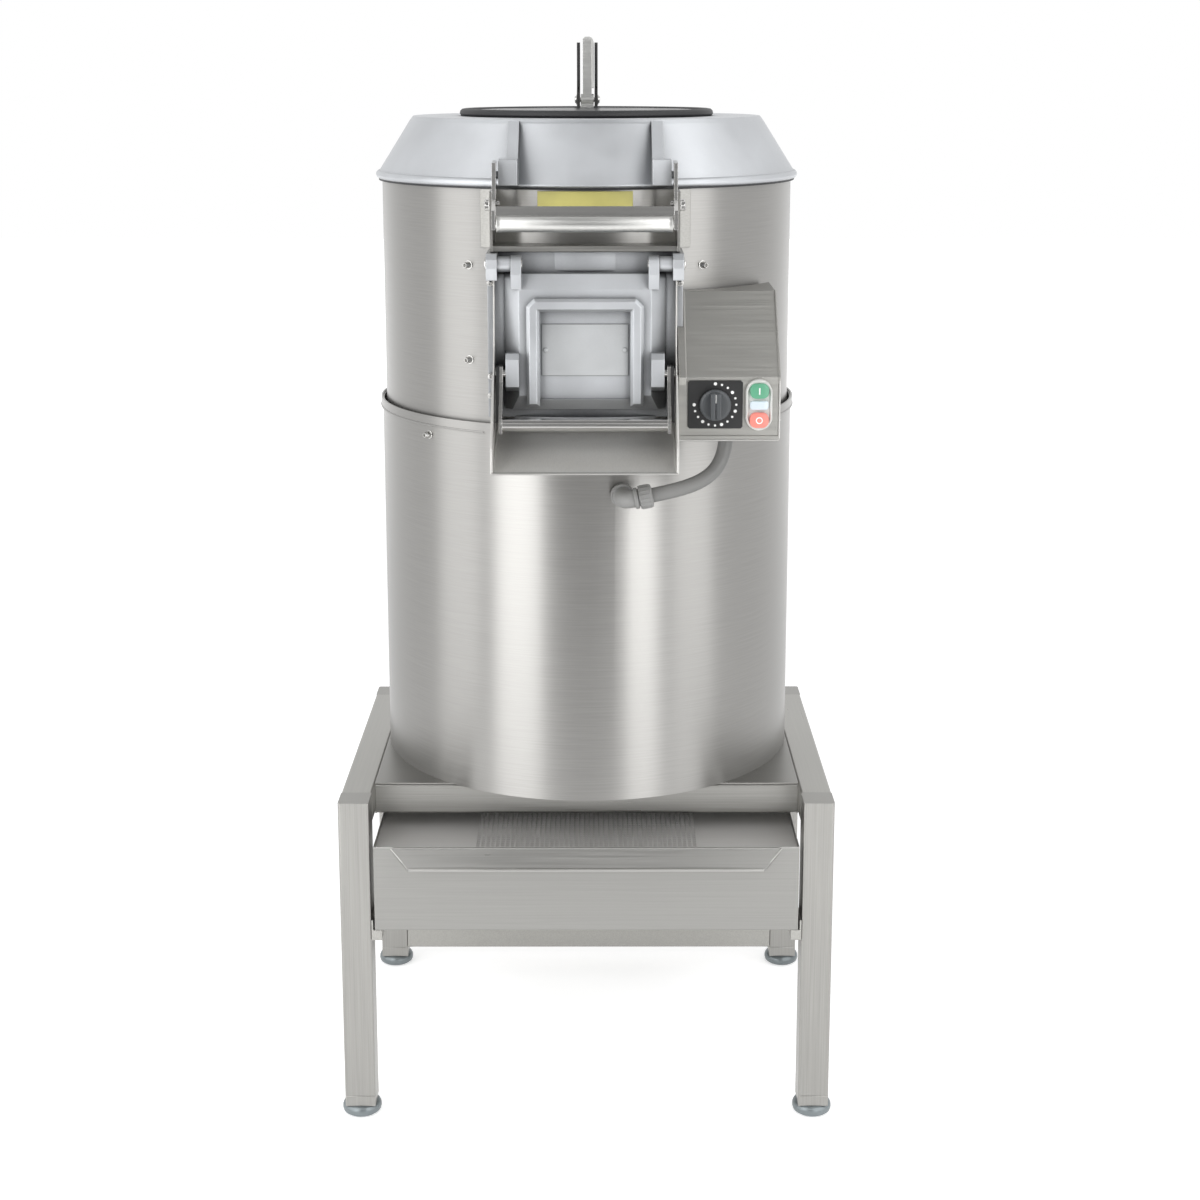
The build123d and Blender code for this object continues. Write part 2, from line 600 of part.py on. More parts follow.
# ---- lid bail ----
def lid_bail():
    """Bail that holds the lid down, and the bracket that carries its pivots."""
    y, z, top = BAIL_Y, BAIL_Z, BAIL_TOP_Z
    wide = 2 * PIVOT_R
    bar_y, bar_z = BAIL_BAR_Y, BAIL_BAR_Z
    plate = side_profile([(y - wide, z - wide), (y + wide, z - wide), (y + wide, top - 22), (y - 3, top - 22),
                          (y - 3, top - 9), (y + wide, top - 6), (y + wide - 2, top), (y - 14, top - 2),
                          (y - 20, z + 6), (bar_y - wide, bar_z + 14), (bar_y - wide, bar_z - 6),
                          (bar_y + wide, bar_z - wide)], BAIL_X, BAIL_X + BAIL_T)
    plate = plate - along_x(PIVOT_R + FIT, 0, FAR, y, z)
    strip = block((-BAIL_X, BAIL_X), (bar_y - 2, bar_y + 1), (bar_z, bar_z + 2.8 * BAIL_BAR_R))
    bar = along_x(BAIL_BAR_R, -BAIL_X, BAIL_X, bar_y, bar_z)
    keep("lid_bail", joined(both_sides(plate) + [bar, strip]))
    low_x = BAIL_X + BAIL_T + GAP
    high_x = low_x + BRACKET_T
    tank = upright(TANK_R, 0, FAR)
    low_z, high_z = z - BRACKET_DOWN, z + BRACKET_UP
    cheek = block((low_x, high_x), (y - PIVOT_R - BRACKET_T, -TANK_R / 2), (low_z, high_z))
    cheek = cheek + (block((low_x, low_x + BRACKET_FOOT), (y, -TANK_R / 2), (low_z, high_z))
                     & upright(TANK_R + BRACKET_T, 0, FAR))
    cheek = cheek - tank - along_x(PIVOT_R, 0, FAR, y, z)
    cheek = cheek.solids().sort_by(SortBy.VOLUME)[-1]
    shelf = block((-high_x, high_x), (y - BRACKET_T, -TANK_R / 2), (low_z, low_z + 2 * BRACKET_T)) - tank
    shelf = shelf.solids().sort_by(SortBy.VOLUME)[-1]
    keep("bail_brackets", joined(both_sides(cheek) + [shelf]))
    pin = along_x(PIVOT_R, BAIL_X - BRACKET_T, high_x, y, z)
    head = Pos(high_x, y, z) * Rot(0, 90, 0) * extrude(RegularPolygon(PIVOT_HEAD_R, 6), PIVOT_HEAD_T)
    keep("lid_bail_pivots", *both_sides(pin + head))


# ---- discharge door, its frame and the chute ----
def door_frame():
    """Cast frame on the tank wall: hinge ears, a bowed bridge between them and a bowed sill."""
    tank = upright(TANK_R, 0, FAR)
    front = DOOR_BACK_Y + DOOR_SEAL
    low, high = FRAME_Z
    top = HINGE_Z + ARM_R + 2
    frame = block((-EAR_OUT, EAR_OUT), (front, -TANK_R / 2), (low, high))
    frame = frame + block((-EAR_OUT, EAR_OUT), (front + 2, -TANK_R / 2), (high - PAST, top))
    bridge = upright(TANK_R + BRIDGE_OUT, top - BRIDGE_H, top) & block((-BRIDGE_X, BRIDGE_X), (-FAR, 0), (low, top))
    sill = upright(TANK_R + SILL_OUT, low - SILL_T, low + 1) & block((-OPEN_X, OPEN_X), (-FAR, 0), (0, FAR))
    body = (frame + bridge + sill) - door_cut() - tank
    body = body.solids().sort_by(SortBy.VOLUME)[-1]
    ear = side_profile([(front + 2, high - PAST), (HINGE_Y - 6, high - PAST), (HINGE_Y - ARM_R - 2, HINGE_Z - 4),
                        (HINGE_Y - ARM_R - 2, HINGE_Z + 5), (HINGE_Y - 5, top), (front + 2, top)],
                       EAR_IN + GAP, EAR_OUT)
    knuckle = along_x(KNUCKLE_R, ARM_OUT + GAP, EAR_IN + 1, HINGE_Y, HINGE_Z)
    ear = (ear + knuckle) - along_x(HINGE_R, 0, FAR, HINGE_Y, HINGE_Z)
    keep("door_frame", joined([body] + both_sides(ear)))
    keep("door_hinge_pin", *both_sides(along_x(HINGE_R, ARM_IN - 1, EAR_OUT, HINGE_Y, HINGE_Z)))


def door_slab(inset):
    """Form of the door: sides, top and bottom slope back from its face; or the same form inset."""
    back, face = DOOR_X - inset, DOOR_FACE_X - inset
    low, high = JOINT_Z + DOOR_LOW + inset, HINGE_Z - BRIDGE_H / 2 - 1 - inset
    front = DOOR_FRONT_Y + inset
    plan = make_face(Polyline((-back, DOOR_BACK_Y), (-face, front), (face, front), (back, DOOR_BACK_Y), close=True))
    profile = side_profile([(DOOR_BACK_Y, low), (front + DOOR_T / 2, low), (front, low + DOOR_T),
                            (front, high - DOOR_T), (front + DOOR_T / 2, high), (DOOR_BACK_Y, high)],
                           -DOOR_X, DOOR_X)
    return Pos(0, 0, low) * extrude(plan, high - low) & profile


def bead():
    """Raised bead round the top and both sides of the recess, open at the bottom."""
    low, high = JOINT_Z + BEAD_LOW, BEAD_Z
    inner = BEAD_X - BEAD_W
    form = block((-BEAD_X, BEAD_X), (DOOR_FRONT_Y - BEAD_T, DOOR_FRONT_Y), (low, high))
    form = chamfer(form.edges().filter_by(Axis.Y).group_by(Axis.Z)[-1], BEAD_T)
    form = form - block((-inner, inner), (-FAR, DOOR_FRONT_Y), (low - PAST, high - BEAD_W))
    return chamfer(form.faces().sort_by(Axis.Y)[0].edges(), BEAD_T / 2.5)


def door():
    """Cast door: hollow shell, hinge arms, bead, recess with a bare plate, two wedge lugs."""
    front = DOOR_FRONT_Y
    shell = door_slab(0) - door_slab(DOOR_SHELL) - block(
        (-DOOR_FACE_X + DOOR_SHELL, DOOR_FACE_X - DOOR_SHELL), (DOOR_BACK_Y - DOOR_T / 2, DOOR_BACK_Y + PAST),
        (JOINT_Z + BEAD_LOW + DOOR_SHELL, BEAD_Z))
    top = HINGE_Z - BRIDGE_H / 2 - 1
    arm = side_profile([(front + DOOR_T / 2, top - DOOR_T), (DOOR_BACK_Y, top - DOOR_T), (DOOR_BACK_Y, top),
                        (HINGE_Y + ARM_R, HINGE_Z), (HINGE_Y - ARM_R, HINGE_Z), (HINGE_Y - ARM_R, top),
                        (front, top - DOOR_T)], ARM_IN, ARM_OUT)
    arm = arm + along_x(ARM_R, ARM_IN, ARM_OUT, HINGE_Y, HINGE_Z)
    recess = block((-BEAD_X + BEAD_W, BEAD_X - BEAD_W), (front - PAST, front + RECESS_D),
                   (JOINT_Z + RECESS_LOW, BEAD_Z - BEAD_W))
    lug = side_profile([(DOOR_BACK_Y - 1, LUG_Z[0]), (front, LUG_Z[0]), (front - LUG_T, LUG_Z[0] + LUG_T / 2),
                        (front - LUG_T, LUG_Z[1] - LUG_T / 2), (front - LUG_T / 2, LUG_Z[1]),
                        (DOOR_BACK_Y - 1, LUG_Z[1])], *LUG_X)
    body = joined([shell, bead()] + both_sides(arm) + both_sides(lug)) - recess
    body = body - along_x(HINGE_R + FIT, -FAR, FAR, HINGE_Y, HINGE_Z)
    keep("discharge_door", body - both_sides(along_x(PIVOT_R, LUG_X[0] + 1, FAR, DBAIL_Y, DBAIL_Z)))
    seal = block((-DOOR_X + 1, DOOR_X - 1), (DOOR_BACK_Y, DOOR_BACK_Y + DOOR_SEAL - GAP),
                 (JOINT_Z + DOOR_LOW + 2, FRAME_Z[1] - GAP))
    keep("door_seal", seal - door_cut())
    back = front + RECESS_D
    bare_plate = block((-PLATE_X, PLATE_X), (back - PLATE_T, back), PLATE_Z)
    rivets = [along_y(RIVET_R, back - 2 * PLATE_T, back - PLATE_T, side * (PLATE_X - RIVET_IN), sum(PLATE_Z) / 2)
              for side in (-1, 1)]
    keep("door_plate", bare_plate, *rivets)


def door_bail():
    """Levers on both sides of the door, joined by a round bar in front of its lower edge."""
    inner = DOOR_X + 2 * GAP
    y, z = DBAIL_Y, DBAIL_Z
    bar_y, bar_z = DBAIL_BAR_Y, DBAIL_BAR_Z
    wide = 2 * PIVOT_R
    lever = side_profile([(y - wide, z + wide), (y + wide, z + wide), (y + wide, z - wide),
                          (bar_y + wide, bar_z - wide), (bar_y - wide, bar_z - wide),
                          (bar_y - wide, bar_z + wide), (y - 1.5 * wide, z - wide)], inner, inner + DBAIL_T)
    lever = lever - along_x(PIVOT_R + FIT, 0, FAR, y, z)
    bar = along_x(DBAIL_BAR_R, -inner - 1, inner + 1, bar_y, bar_z)
    keep("door_bail", joined(both_sides(lever) + [bar]))
    low_x = inner + DBAIL_T
    high_x = low_x + PAD_T
    pad = side_profile([(y - wide, z + wide), (y + PIVOT_R, z + wide), (y + PIVOT_R, z - wide),
                        (bar_y + PIVOT_R, bar_z + PIVOT_R), (bar_y - wide, bar_z + PIVOT_R)], low_x, high_x)
    keep("door_bail_pads", *both_sides(pad - along_x(PIVOT_R + FIT, 0, FAR, y, z)))
    keep("door_bail_pivots", *both_sides(along_x(PIVOT_R, LUG_X[0] + 1, high_x + 2 * GAP, y, z)))


def chute():
    """Bent sheet spout that narrows towards its lip: two cheeks and a sloping floor."""
    front = DOOR_BACK_Y + DOOR_SEAL
    top = HINGE_Z - CHUTE_DROP
    below = FRAME_Z[0] - GAP
    back = LIP_Z + CHUTE_RISE
    behind = -TANK_R / 2
    outline = [(front, top), (front - PAST, top), (HINGE_Y, top - CHEEK_STEP), (BOX_FRONT_Y, DBAIL_Z),
               (LIP_Y, LIP_Z + LIP_H), (LIP_Y, LIP_Z), (-TANK_R, back - CHUTE_T), (behind, back - CHUTE_T),
               (behind, below), (front, below)]

    def plan(inset):
        """Plan of the spout, or the same inset by the sheet."""
        wide, lip = CHUTE_X - inset, LIP_X - inset
        face = make_face(Polyline((-lip, LIP_Y), (lip, LIP_Y), (wide, -TANK_R), (wide, behind),
                                  (-wide, behind), (-wide, -TANK_R), close=True))
        return extrude(face, FAR)
    cheeks = side_profile(outline, -CHUTE_X, CHUTE_X) & (plan(0) - plan(CHUTE_T))
    floor = side_profile([(LIP_Y, LIP_Z), (LIP_Y, LIP_Z + CHUTE_T), (-TANK_R, back), (behind, back),
                          (behind, back - CHUTE_T), (-TANK_R, back - CHUTE_T)], -CHUTE_X, CHUTE_X) & plan(CHUTE_T / 2)
    body = joined([cheeks, floor]) - upright(TANK_R, 0, FAR)
    keep("chute", body.solids().sort_by(SortBy.VOLUME)[-1])


# ---- control box ----
def box_shell(inset):
    """Outer or inner form of the control box, with its sloping top."""
    behind = -TANK_R + BOX_BACK
    top = BOX_TOP_Z - inset
    shape = side_profile([(BOX_FRONT_Y + inset, BOX_Z[0] + inset), (BOX_FRONT_Y + inset, BOX_Z[1] - inset / 2),
                          (BOX_TOP_Y, top), (behind, top), (behind, BOX_Z[0] + inset)],
                         BOX_X[0] + inset, BOX_X[1] - inset)
    return shape - upright(CASING_R + COLLAR_T + inset, 0, FAR)


def control_box():
    """Folded sheet box; its sloping top lies a little lower than the edges of its sides."""
    edge = side_profile([(BOX_FRONT_Y, BOX_Z[1] - BOX_EDGE), (BOX_FRONT_Y - 2 * BOX_T, BOX_Z[1]),
                         (BOX_TOP_Y - BOX_T, BOX_TOP_Z + BOX_T), (BOX_TOP_Y, BOX_TOP_Z), (BOX_FRONT_Y, BOX_Z[1])],
                        0, 1)
    rims = [Pos(BOX_X[0], 0, 0) * scale(edge, by=(BOX_EDGE, 1, 1)),
            Pos(BOX_X[1] - BOX_T, 0, 0) * scale(edge, by=(BOX_T, 1, 1))]
    lip = block(BOX_X, (BOX_FRONT_Y - BOX_T, BOX_FRONT_Y + BOX_T), (BOX_Z[0] - BOX_LIP, BOX_Z[0] + BOX_T))
    body = joined([box_shell(0) - box_shell(BOX_T), lip] + rims) - upright(CASING_R + COLLAR_T, 0, FAR)
    flange = DOOR_BACK_Y + DOOR_SEAL - GAP
    body = body - block((0, EAR_OUT + GAP), (flange, 0), (0, FAR))
    body = body - along_y(KNOB_STEM_R + 1, -FAR, BOX_FRONT_Y + PAST, DIAL_X, CONTROL_Z)
    half = SWITCH_W / 4
    body = body - block((SWITCH_X - half - 1, SWITCH_X + half + 1), (-FAR, BOX_FRONT_Y + PAST),
                        (CONTROL_Z - SWITCH_H / 3, CONTROL_Z + SWITCH_H / 3))
    keep("control_box", body - upright(CONDUIT_R, 0, BOX_Z[0] + PAST, CONDUIT_X, CONDUIT_Y))
    hole = along_y(KNOB_STEM_R + 1, -FAR, BOX_FRONT_Y, DIAL_X, CONTROL_Z)
    dial = block((DIAL_X - DIAL_W / 2, DIAL_X + DIAL_W / 2), (BOX_FRONT_Y - DIAL_T, BOX_FRONT_Y),
                 (CONTROL_Z - DIAL_H / 2, CONTROL_Z + DIAL_H / 2))
    keep("dial_plate", chamfer(dial.edges().filter_by(Axis.Y), DIAL_T) - hole)
    back = BOX_FRONT_Y + BOX_T
    timer = block((DIAL_X - TIMER / 2, DIAL_X + TIMER / 2), (back, back + TIMER_D),
                  (CONTROL_Z - TIMER / 2, CONTROL_Z + TIMER / 2 - BOX_EDGE))
    keep("timer", timer - along_y(KNOB_STEM_R + FIT, -FAR, back + TIMER_D / 2, DIAL_X, CONTROL_Z))
    keep("timer_knob", knob())


def knob():
    """Round knob with a grip bar across it and a stem into the timer."""
    front = BOX_FRONT_Y - DIAL_T - GAP
    disc = along_y(KNOB_R, front - KNOB_T, front, DIAL_X, CONTROL_Z)
    disc = chamfer(disc.edges().group_by(Axis.Y)[0], KNOB_T / 4)
    half = KNOB_R - KNOB_T / 4
    grip = block((DIAL_X - KNOB_GRIP_W / 2, DIAL_X + KNOB_GRIP_W / 2), (front - KNOB_H, front - KNOB_T / 2),
                 (CONTROL_Z - half, CONTROL_Z + half)) & along_y(half, -FAR, 0, DIAL_X, CONTROL_Z)
    stem = along_y(KNOB_STEM_R, front - KNOB_T / 2, BOX_FRONT_Y + BOX_T + TIMER_D / 3, DIAL_X, CONTROL_Z)
    return joined([disc, grip, stem])


def push_buttons():
    """Double push-button: bezel, start button above, pilot lens, stop button below."""
    face = BOX_FRONT_Y - SWITCH_T
    outline = Plane.XZ * SlotOverall(SWITCH_H, SWITCH_W, rotation=90)
    body = Pos(SWITCH_X, BOX_FRONT_Y, CONTROL_Z) * extrude(outline, SWITCH_T)
    half = SWITCH_W / 4
    body = body + block((SWITCH_X - half, SWITCH_X + half), (BOX_FRONT_Y, BOX_FRONT_Y + TIMER_D),
                        (CONTROL_Z - SWITCH_H / 3 + 1, CONTROL_Z + SWITCH_H / 3 - 1))
    for name, side in (("start_button", 1), ("stop_button", -1)):
        z = CONTROL_Z + side * BUTTON_OFF
        room = chamfer(Rectangle(BUTTON_W + 2 * GAP, BUTTON_H + 2 * GAP).vertices(), CORNER)
        deep = BUTTON_TRAVEL + 2
        body = body - Pos(SWITCH_X, face + deep + GAP, z) * extrude(Plane.XZ * room, deep + PAST)
        cap = chamfer(Rectangle(BUTTON_W, BUTTON_H).vertices(), CORNER)
        button = Pos(SWITCH_X, face + 2, z) * extrude(Plane.XZ * cap, BUTTON_OUT + 2)
        keep(name, chamfer(button.edges().group_by(Axis.Y)[0], 1))
    lens_x = (SWITCH_X - BUTTON_W / 2, SWITCH_X + BUTTON_W / 2)
    lens_z = (CONTROL_Z - LENS_H / 2, CONTROL_Z + LENS_H / 2)
    body = body - block((lens_x[0] - GAP, lens_x[1] + GAP), (-FAR, face + 3), (lens_z[0] - GAP, lens_z[1] + GAP))
    keep("switch_body", body)
    keep("pilot_lens", block(lens_x, (face - 1.5, face + 3), lens_z))


def conduit():
    """Flexible conduit from the box to an elbow on the casing, with a compression nut."""
    corner = Vector(ELBOW_X, ELBOW_Y, ELBOW_Z)
    slope = Vector(1, 0, 0.2).normalized()
    end = corner + slope * 2 * NUT_H
    start = Vector(CONDUIT_X, CONDUIT_Y, BOX_Z[0] + BOX_T)
    below = Vector(CONDUIT_X, CONDUIT_Y, BOX_Z[0] - CONDUIT_FALL)
    path = FilletPolyline(start, below, end + slope * 2 * NUT_H, end, radius=[2 * CONDUIT_R, 4 * CONDUIT_R])
    keep("conduit", sweep(Plane(path @ 0, z_dir=path % 0) * Circle(CONDUIT_R), path))
    nut = Plane(end, z_dir=-slope) * extrude(RegularPolygon(NUT_R, 6), NUT_H)
    arm = Plane(end - slope * NUT_H, z_dir=-slope) * extrude(Circle(CONDUIT_R + 3), NUT_H)
    leg = along_y(CONDUIT_R + 3, ELBOW_Y - CONDUIT_R, -CASING_R / 2, ELBOW_X, ELBOW_Z)
    flange = along_y(CONDUIT_R + 5, -CASING_R - CONDUIT_R, -CASING_R / 2, ELBOW_X, ELBOW_Z)
    keep("conduit_gland", joined([nut, arm, leg, flange]) - upright(CASING_R, 0, FAR))


def fasteners():
    """Round-headed studs on the tank and the casing, and the screws of the door frame."""
    places = [(TANK_R, -32, HINGE_Z - 8), (TANK_R, -32, DBAIL_Z + 3), (TANK_R, 32, HINGE_Z - 8),
              (CASING_R, -46, JOINT_Z - 20)]
    heads = []
    for radius, angle, z in places:
        head = Pos(0, 0, z) * Rot(0, 0, angle) * along_y(STUD_R, -radius - STUD_OUT, -radius + 3, 0, 0)
        heads.append(head - upright(radius, 0, FAR))
    face = DOOR_BACK_Y + DOOR_SEAL
    side = EAR_OUT - BRACKET_T
    for x, z in ((-side, FRAME_Z[1] - 10), (side, FRAME_Z[1] - 10), (-side, LUG_Z[0] + 13), (-side, LUG_Z[0] - 8)):
        heads.append(along_y(BRACKET_T - GAP, face - PIVOT_R, face, x, z))
    keep("tank_screws", *heads)


def build():
    stand()
    runners()
    drawer()
    casing()
    drive()
    lid()
    hatch()
    lid_bail()
    door_frame()
    door()
    door_bail()
    chute()
    control_box()
    push_buttons()
    conduit()
    fasteners()
    os.makedirs("parts", exist_ok=True)
    for name, shape in NODES.items():
        export_step(shape, f"parts/{name}.step")


build()
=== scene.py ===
"""Looks of the electric potato peeler: camera, lights, materials and the fine pieces on the CAD frame."""
import math

import bmesh
import bpy
from mathutils import Matrix, Vector


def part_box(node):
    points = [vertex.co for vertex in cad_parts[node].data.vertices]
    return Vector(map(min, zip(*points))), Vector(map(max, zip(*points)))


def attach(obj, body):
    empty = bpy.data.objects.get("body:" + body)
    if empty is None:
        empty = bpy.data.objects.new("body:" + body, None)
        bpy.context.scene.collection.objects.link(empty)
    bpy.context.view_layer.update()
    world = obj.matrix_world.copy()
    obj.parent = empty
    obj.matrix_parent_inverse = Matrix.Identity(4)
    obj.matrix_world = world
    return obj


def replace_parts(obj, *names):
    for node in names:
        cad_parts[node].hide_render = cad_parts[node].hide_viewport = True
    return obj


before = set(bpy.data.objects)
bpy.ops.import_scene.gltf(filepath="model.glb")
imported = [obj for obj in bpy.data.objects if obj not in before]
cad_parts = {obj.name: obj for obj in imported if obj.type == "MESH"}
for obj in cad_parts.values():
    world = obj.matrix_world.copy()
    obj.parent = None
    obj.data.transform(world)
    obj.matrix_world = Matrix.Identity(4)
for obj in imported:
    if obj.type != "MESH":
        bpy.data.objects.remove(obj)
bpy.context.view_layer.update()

# ---- places taken from the frame, in millimetres about the tank axis ----
MM = 0.001
AXIS_Y = sum(corner[1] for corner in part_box("upper_tank")) / 2


def extent(name):
    """Box of a CAD node as (x0, x1), (y0, y1), (z0, z1)."""
    low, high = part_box(name)
    return tuple(((a - shift) / MM, (b - shift) / MM) for a, b, shift in zip(low, high, (0, AXIS_Y, 0)))


def middle(pair):
    """Value half way between the two of a pair."""
    return (pair[0] + pair[1]) / 2


def half(pair):
    """Half the distance between the two of a pair."""
    return (pair[1] - pair[0]) / 2


TANK_R = extent("upper_tank")[0][1]
CASING_R = extent("lower_casing")[0][1]
JOINT_Z = extent("lower_casing")[2][1]
TANK_TOP_Z = extent("upper_tank")[2][1]


def nodes(material, *names):
    """Assign one material to CAD nodes."""
    for name in names:
        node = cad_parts[name]
        node.data.materials.clear()
        node.data.materials.append(material)


# ---- materials ----
NOISE_LOW, NOISE_HIGH = 0.3, 0.7       # a noise texture's values lie mostly between these
ALONG_X, ALONG_Y, ALONG_Z = (0.012, 1, 1), (1, 0.012, 1), (1, 1, 0.012)   # stretch that makes a grain
EVEN = (1, 1, 1)


def new_material(name):
    """Material with its node tree and its shader."""
    material = bpy.data.materials.new(name)
    material.use_nodes = True
    tree = material.node_tree
    return material, tree, tree.nodes["Principled BSDF"]


def noise(tree, scale, stretch, detail, roughness=0.5):
    """Noise texture in object space, stretched along the axes."""
    coordinates = tree.nodes.new("ShaderNodeTexCoord")
    mapping = tree.nodes.new("ShaderNodeMapping")
    mapping.inputs["Scale"].default_value = stretch
    texture = tree.nodes.new("ShaderNodeTexNoise")
    texture.inputs["Scale"].default_value = scale
    texture.inputs["Detail"].default_value = detail
    texture.inputs["Roughness"].default_value = roughness
    tree.links.new(coordinates.outputs["Object"], mapping.inputs["Vector"])
    tree.links.new(mapping.outputs["Vector"], texture.inputs["Vector"])
    return texture.outputs["Fac"]


def spread(tree, value, low, high):
    """Map a noise value to a chosen range."""
    node = tree.nodes.new("ShaderNodeMapRange")
    node.inputs["From Min"].default_value = NOISE_LOW
    node.inputs["From Max"].default_value = NOISE_HIGH
    node.inputs["To Min"].default_value = low
    node.inputs["To Max"].default_value = high
    tree.links.new(value, node.inputs["Value"])
    return node.outputs["Result"]


def combine(tree, operation, first, second):
    """Sum, product or larger one of two values."""
    node = tree.nodes.new("ShaderNodeMath")
    node.operation = operation
    tree.links.new(first, node.inputs[0])
    tree.links.new(second, node.inputs[1])
    return node.outputs["Value"]


def two_tone(tree, value, colour, darker, lighter, lift=0.0):
    """Colour between a darker and a lighter tone, by a noise value."""
    dark = tuple(c * darker for c in colour)
    light = tuple(min(1.0, c * lighter + lift) for c in colour)
    ramp = tree.nodes.new("ShaderNodeValToRGB")
    for element, place, tone in zip(ramp.color_ramp.elements, (NOISE_LOW, NOISE_HIGH), (dark, light)):
        element.position = place
        element.color = (*tone, 1)
    tree.links.new(value, ramp.inputs["Fac"])
    return ramp.outputs["Color"]


def bump(tree, shader, value, strength, distance, edge=0.0):
    """Bump from a value, over edges softened by a small bevel."""
    node = tree.nodes.new("ShaderNodeBump")
    node.inputs["Strength"].default_value = strength
    node.inputs["Distance"].default_value = distance
    tree.links.new(value, node.inputs["Height"])
    if edge:
        bevel = tree.nodes.new("ShaderNodeBevel")
        bevel.samples = 4
        bevel.inputs["Radius"].default_value = edge
        tree.links.new(bevel.outputs["Normal"], node.inputs["Normal"])
    tree.links.new(node.outputs["Normal"], shader.inputs["Normal"])


def paint_crevice_shade(tree, shader, colour):
    """Base colour with painted shade: darkened by ambient occlusion in deep gaps and inner corners."""
    reach, floor = 0.05, 0.06
    shade = tree.nodes.new("ShaderNodeAmbientOcclusion")
    shade.samples = 6
    shade.inputs["Distance"].default_value = reach
    amount = tree.nodes.new("ShaderNodeMapRange")
    amount.inputs["To Min"].default_value = floor
    tree.links.new(shade.outputs["AO"], amount.inputs["Value"])
    mixed = tree.nodes.new("ShaderNodeMix")
    mixed.data_type = "RGBA"
    mixed.blend_type = "MULTIPLY"
    mixed.inputs["Factor"].default_value = 1.0
    tree.links.new(colour, mixed.inputs["A"])
    tree.links.new(amount.outputs["Result"], mixed.inputs["B"])
    tree.links.new(mixed.outputs["Result"], shader.inputs["Base Color"])


def brushed(name, grain, colour, rough=0.3, edge=0.0012, fleck=0.08, metallic=1.0):
    """Stainless steel brushed along one axis; grain is the stretch of the noise."""
    material, tree, shader = new_material(name)
    fine = noise(tree, 700, grain, 2.0)
    cloud = noise(tree, 3.5, EVEN, 3.0)
    tree.links.new(two_tone(tree, fine, colour, 1 - fleck, 1 + fleck), shader.inputs["Base Color"])
    rough_fine, rough_cloud = spread(tree, fine, rough - 0.05, rough + 0.06), spread(tree, cloud, -0.03, 0.03)
    tree.links.new(combine(tree, "ADD", rough_fine, rough_cloud), shader.inputs["Roughness"])
    shader.inputs["Metallic"].default_value = metallic
    bump(tree, shader, fine, 0.04, 0.0002, edge)
    return material


def brushed_round(name, colour, rough, stretch):
    """Steel sheet with its grain running round the tank axis, so that highlights run up and down."""
    material, tree, shader = new_material(name)
    fine = noise(tree, 900, (0.02, 0.02, 1), 2.0)
    cloud = noise(tree, 2.5, (1, 1, 0.5), 3.0)
    tree.links.new(two_tone(tree, fine, colour, 0.95, 1.05), shader.inputs["Base Color"])
    rough_fine, rough_cloud = spread(tree, fine, rough - 0.03, rough + 0.03), spread(tree, cloud, -0.02, 0.02)
    tree.links.new(combine(tree, "ADD", rough_fine, rough_cloud), shader.inputs["Roughness"])
    shader.inputs["Metallic"].default_value = 1.0
    shader.inputs["Anisotropic"].default_value = stretch
    shader.inputs["Anisotropic Rotation"].default_value = 0.25
    tangent = tree.nodes.new("ShaderNodeTangent")
    tangent.direction_type = "RADIAL"
    tangent.axis = "Z"
    tree.links.new(tangent.outputs["Tangent"], shader.inputs["Tangent"])
    bump(tree, shader, fine, 0.05, 0.0002)
    return material


def cast(name, colour, rough=0.42):
    """Bead-blasted cast aluminium, with painted shade in its gaps and inner corners."""
    material, tree, shader = new_material(name)
    blasted = noise(tree, 1400, EVEN, 3.0)
    cloud = noise(tree, 14, EVEN, 4.0)
    paint_crevice_shade(tree, shader, two_tone(tree, cloud, colour, 0.93, 1.05))
    tree.links.new(spread(tree, cloud, rough - 0.05, rough + 0.06), shader.inputs["Roughness"])
    shader.inputs["Metallic"].default_value = 0.85
    bump(tree, shader, blasted, 0.22, 0.0003, 0.0015)
    return material


def moulded(name, colour, rough, scale=700, depth=0.15, metallic=0.0):
    """Moulded plastic or rubber with a fine texture."""
    material, tree, shader = new_material(name)
    grain = noise(tree, scale, EVEN, 3.0)
    cloud = noise(tree, 20, EVEN, 3.0)
    tree.links.new(two_tone(tree, cloud, colour, 0.88, 1.10, 0.003), shader.inputs["Base Color"])
    tree.links.new(spread(tree, cloud, rough - 0.05, rough + 0.05), shader.inputs["Roughness"])
    shader.inputs["Metallic"].default_value = metallic
    bump(tree, shader, grain, depth, 0.0003, 0.0008)
    return material


def abrasive(name, colour):
    """Silicon-carbide grit on the peeling disc and the tank lining."""
    material, tree, shader = new_material(name)
    grains = noise(tree, 420, EVEN, 6.0, 0.7)
    tree.links.new(two_tone(tree, grains, colour, 1, 2.4), shader.inputs["Base Color"])
    tree.links.new(spread(tree, grains, 0.75, 0.95), shader.inputs["Roughness"])
    bump(tree, shader, grains, 0.9, 0.0015)
    return material


tank_steel = brushed_round("tank_steel", (0.305, 0.30, 0.29), 0.36, 0.8)
steel_x = brushed("steel_brushed_across", ALONG_X, (0.29, 0.286, 0.272), 0.34)
steel_y = brushed("steel_brushed_deep", ALONG_Y, (0.38, 0.375, 0.355), 0.34)
steel_z = brushed("steel_brushed_upright", ALONG_Z, (0.33, 0.325, 0.31), 0.36)
# lighter copy of the steel: painted light that lifts the shaded inside of the chute
painted_light_chute_steel = brushed("painted_light_chute_steel", ALONG_Y, (0.60, 0.59, 0.565), 0.36, 0.0012, 0.04, 0.6)
box_steel = brushed("box_steel", ALONG_X, (0.38, 0.375, 0.355), 0.36, 0.0012, 0.03)
drawer_steel = brushed("drawer_steel", ALONG_X, (0.30, 0.297, 0.285), 0.35, 0.0012, 0.04, 0.8)
hem_steel = brushed("hem_steel", ALONG_X, (0.44, 0.435, 0.42), 0.34, 0.0006, 0.03)
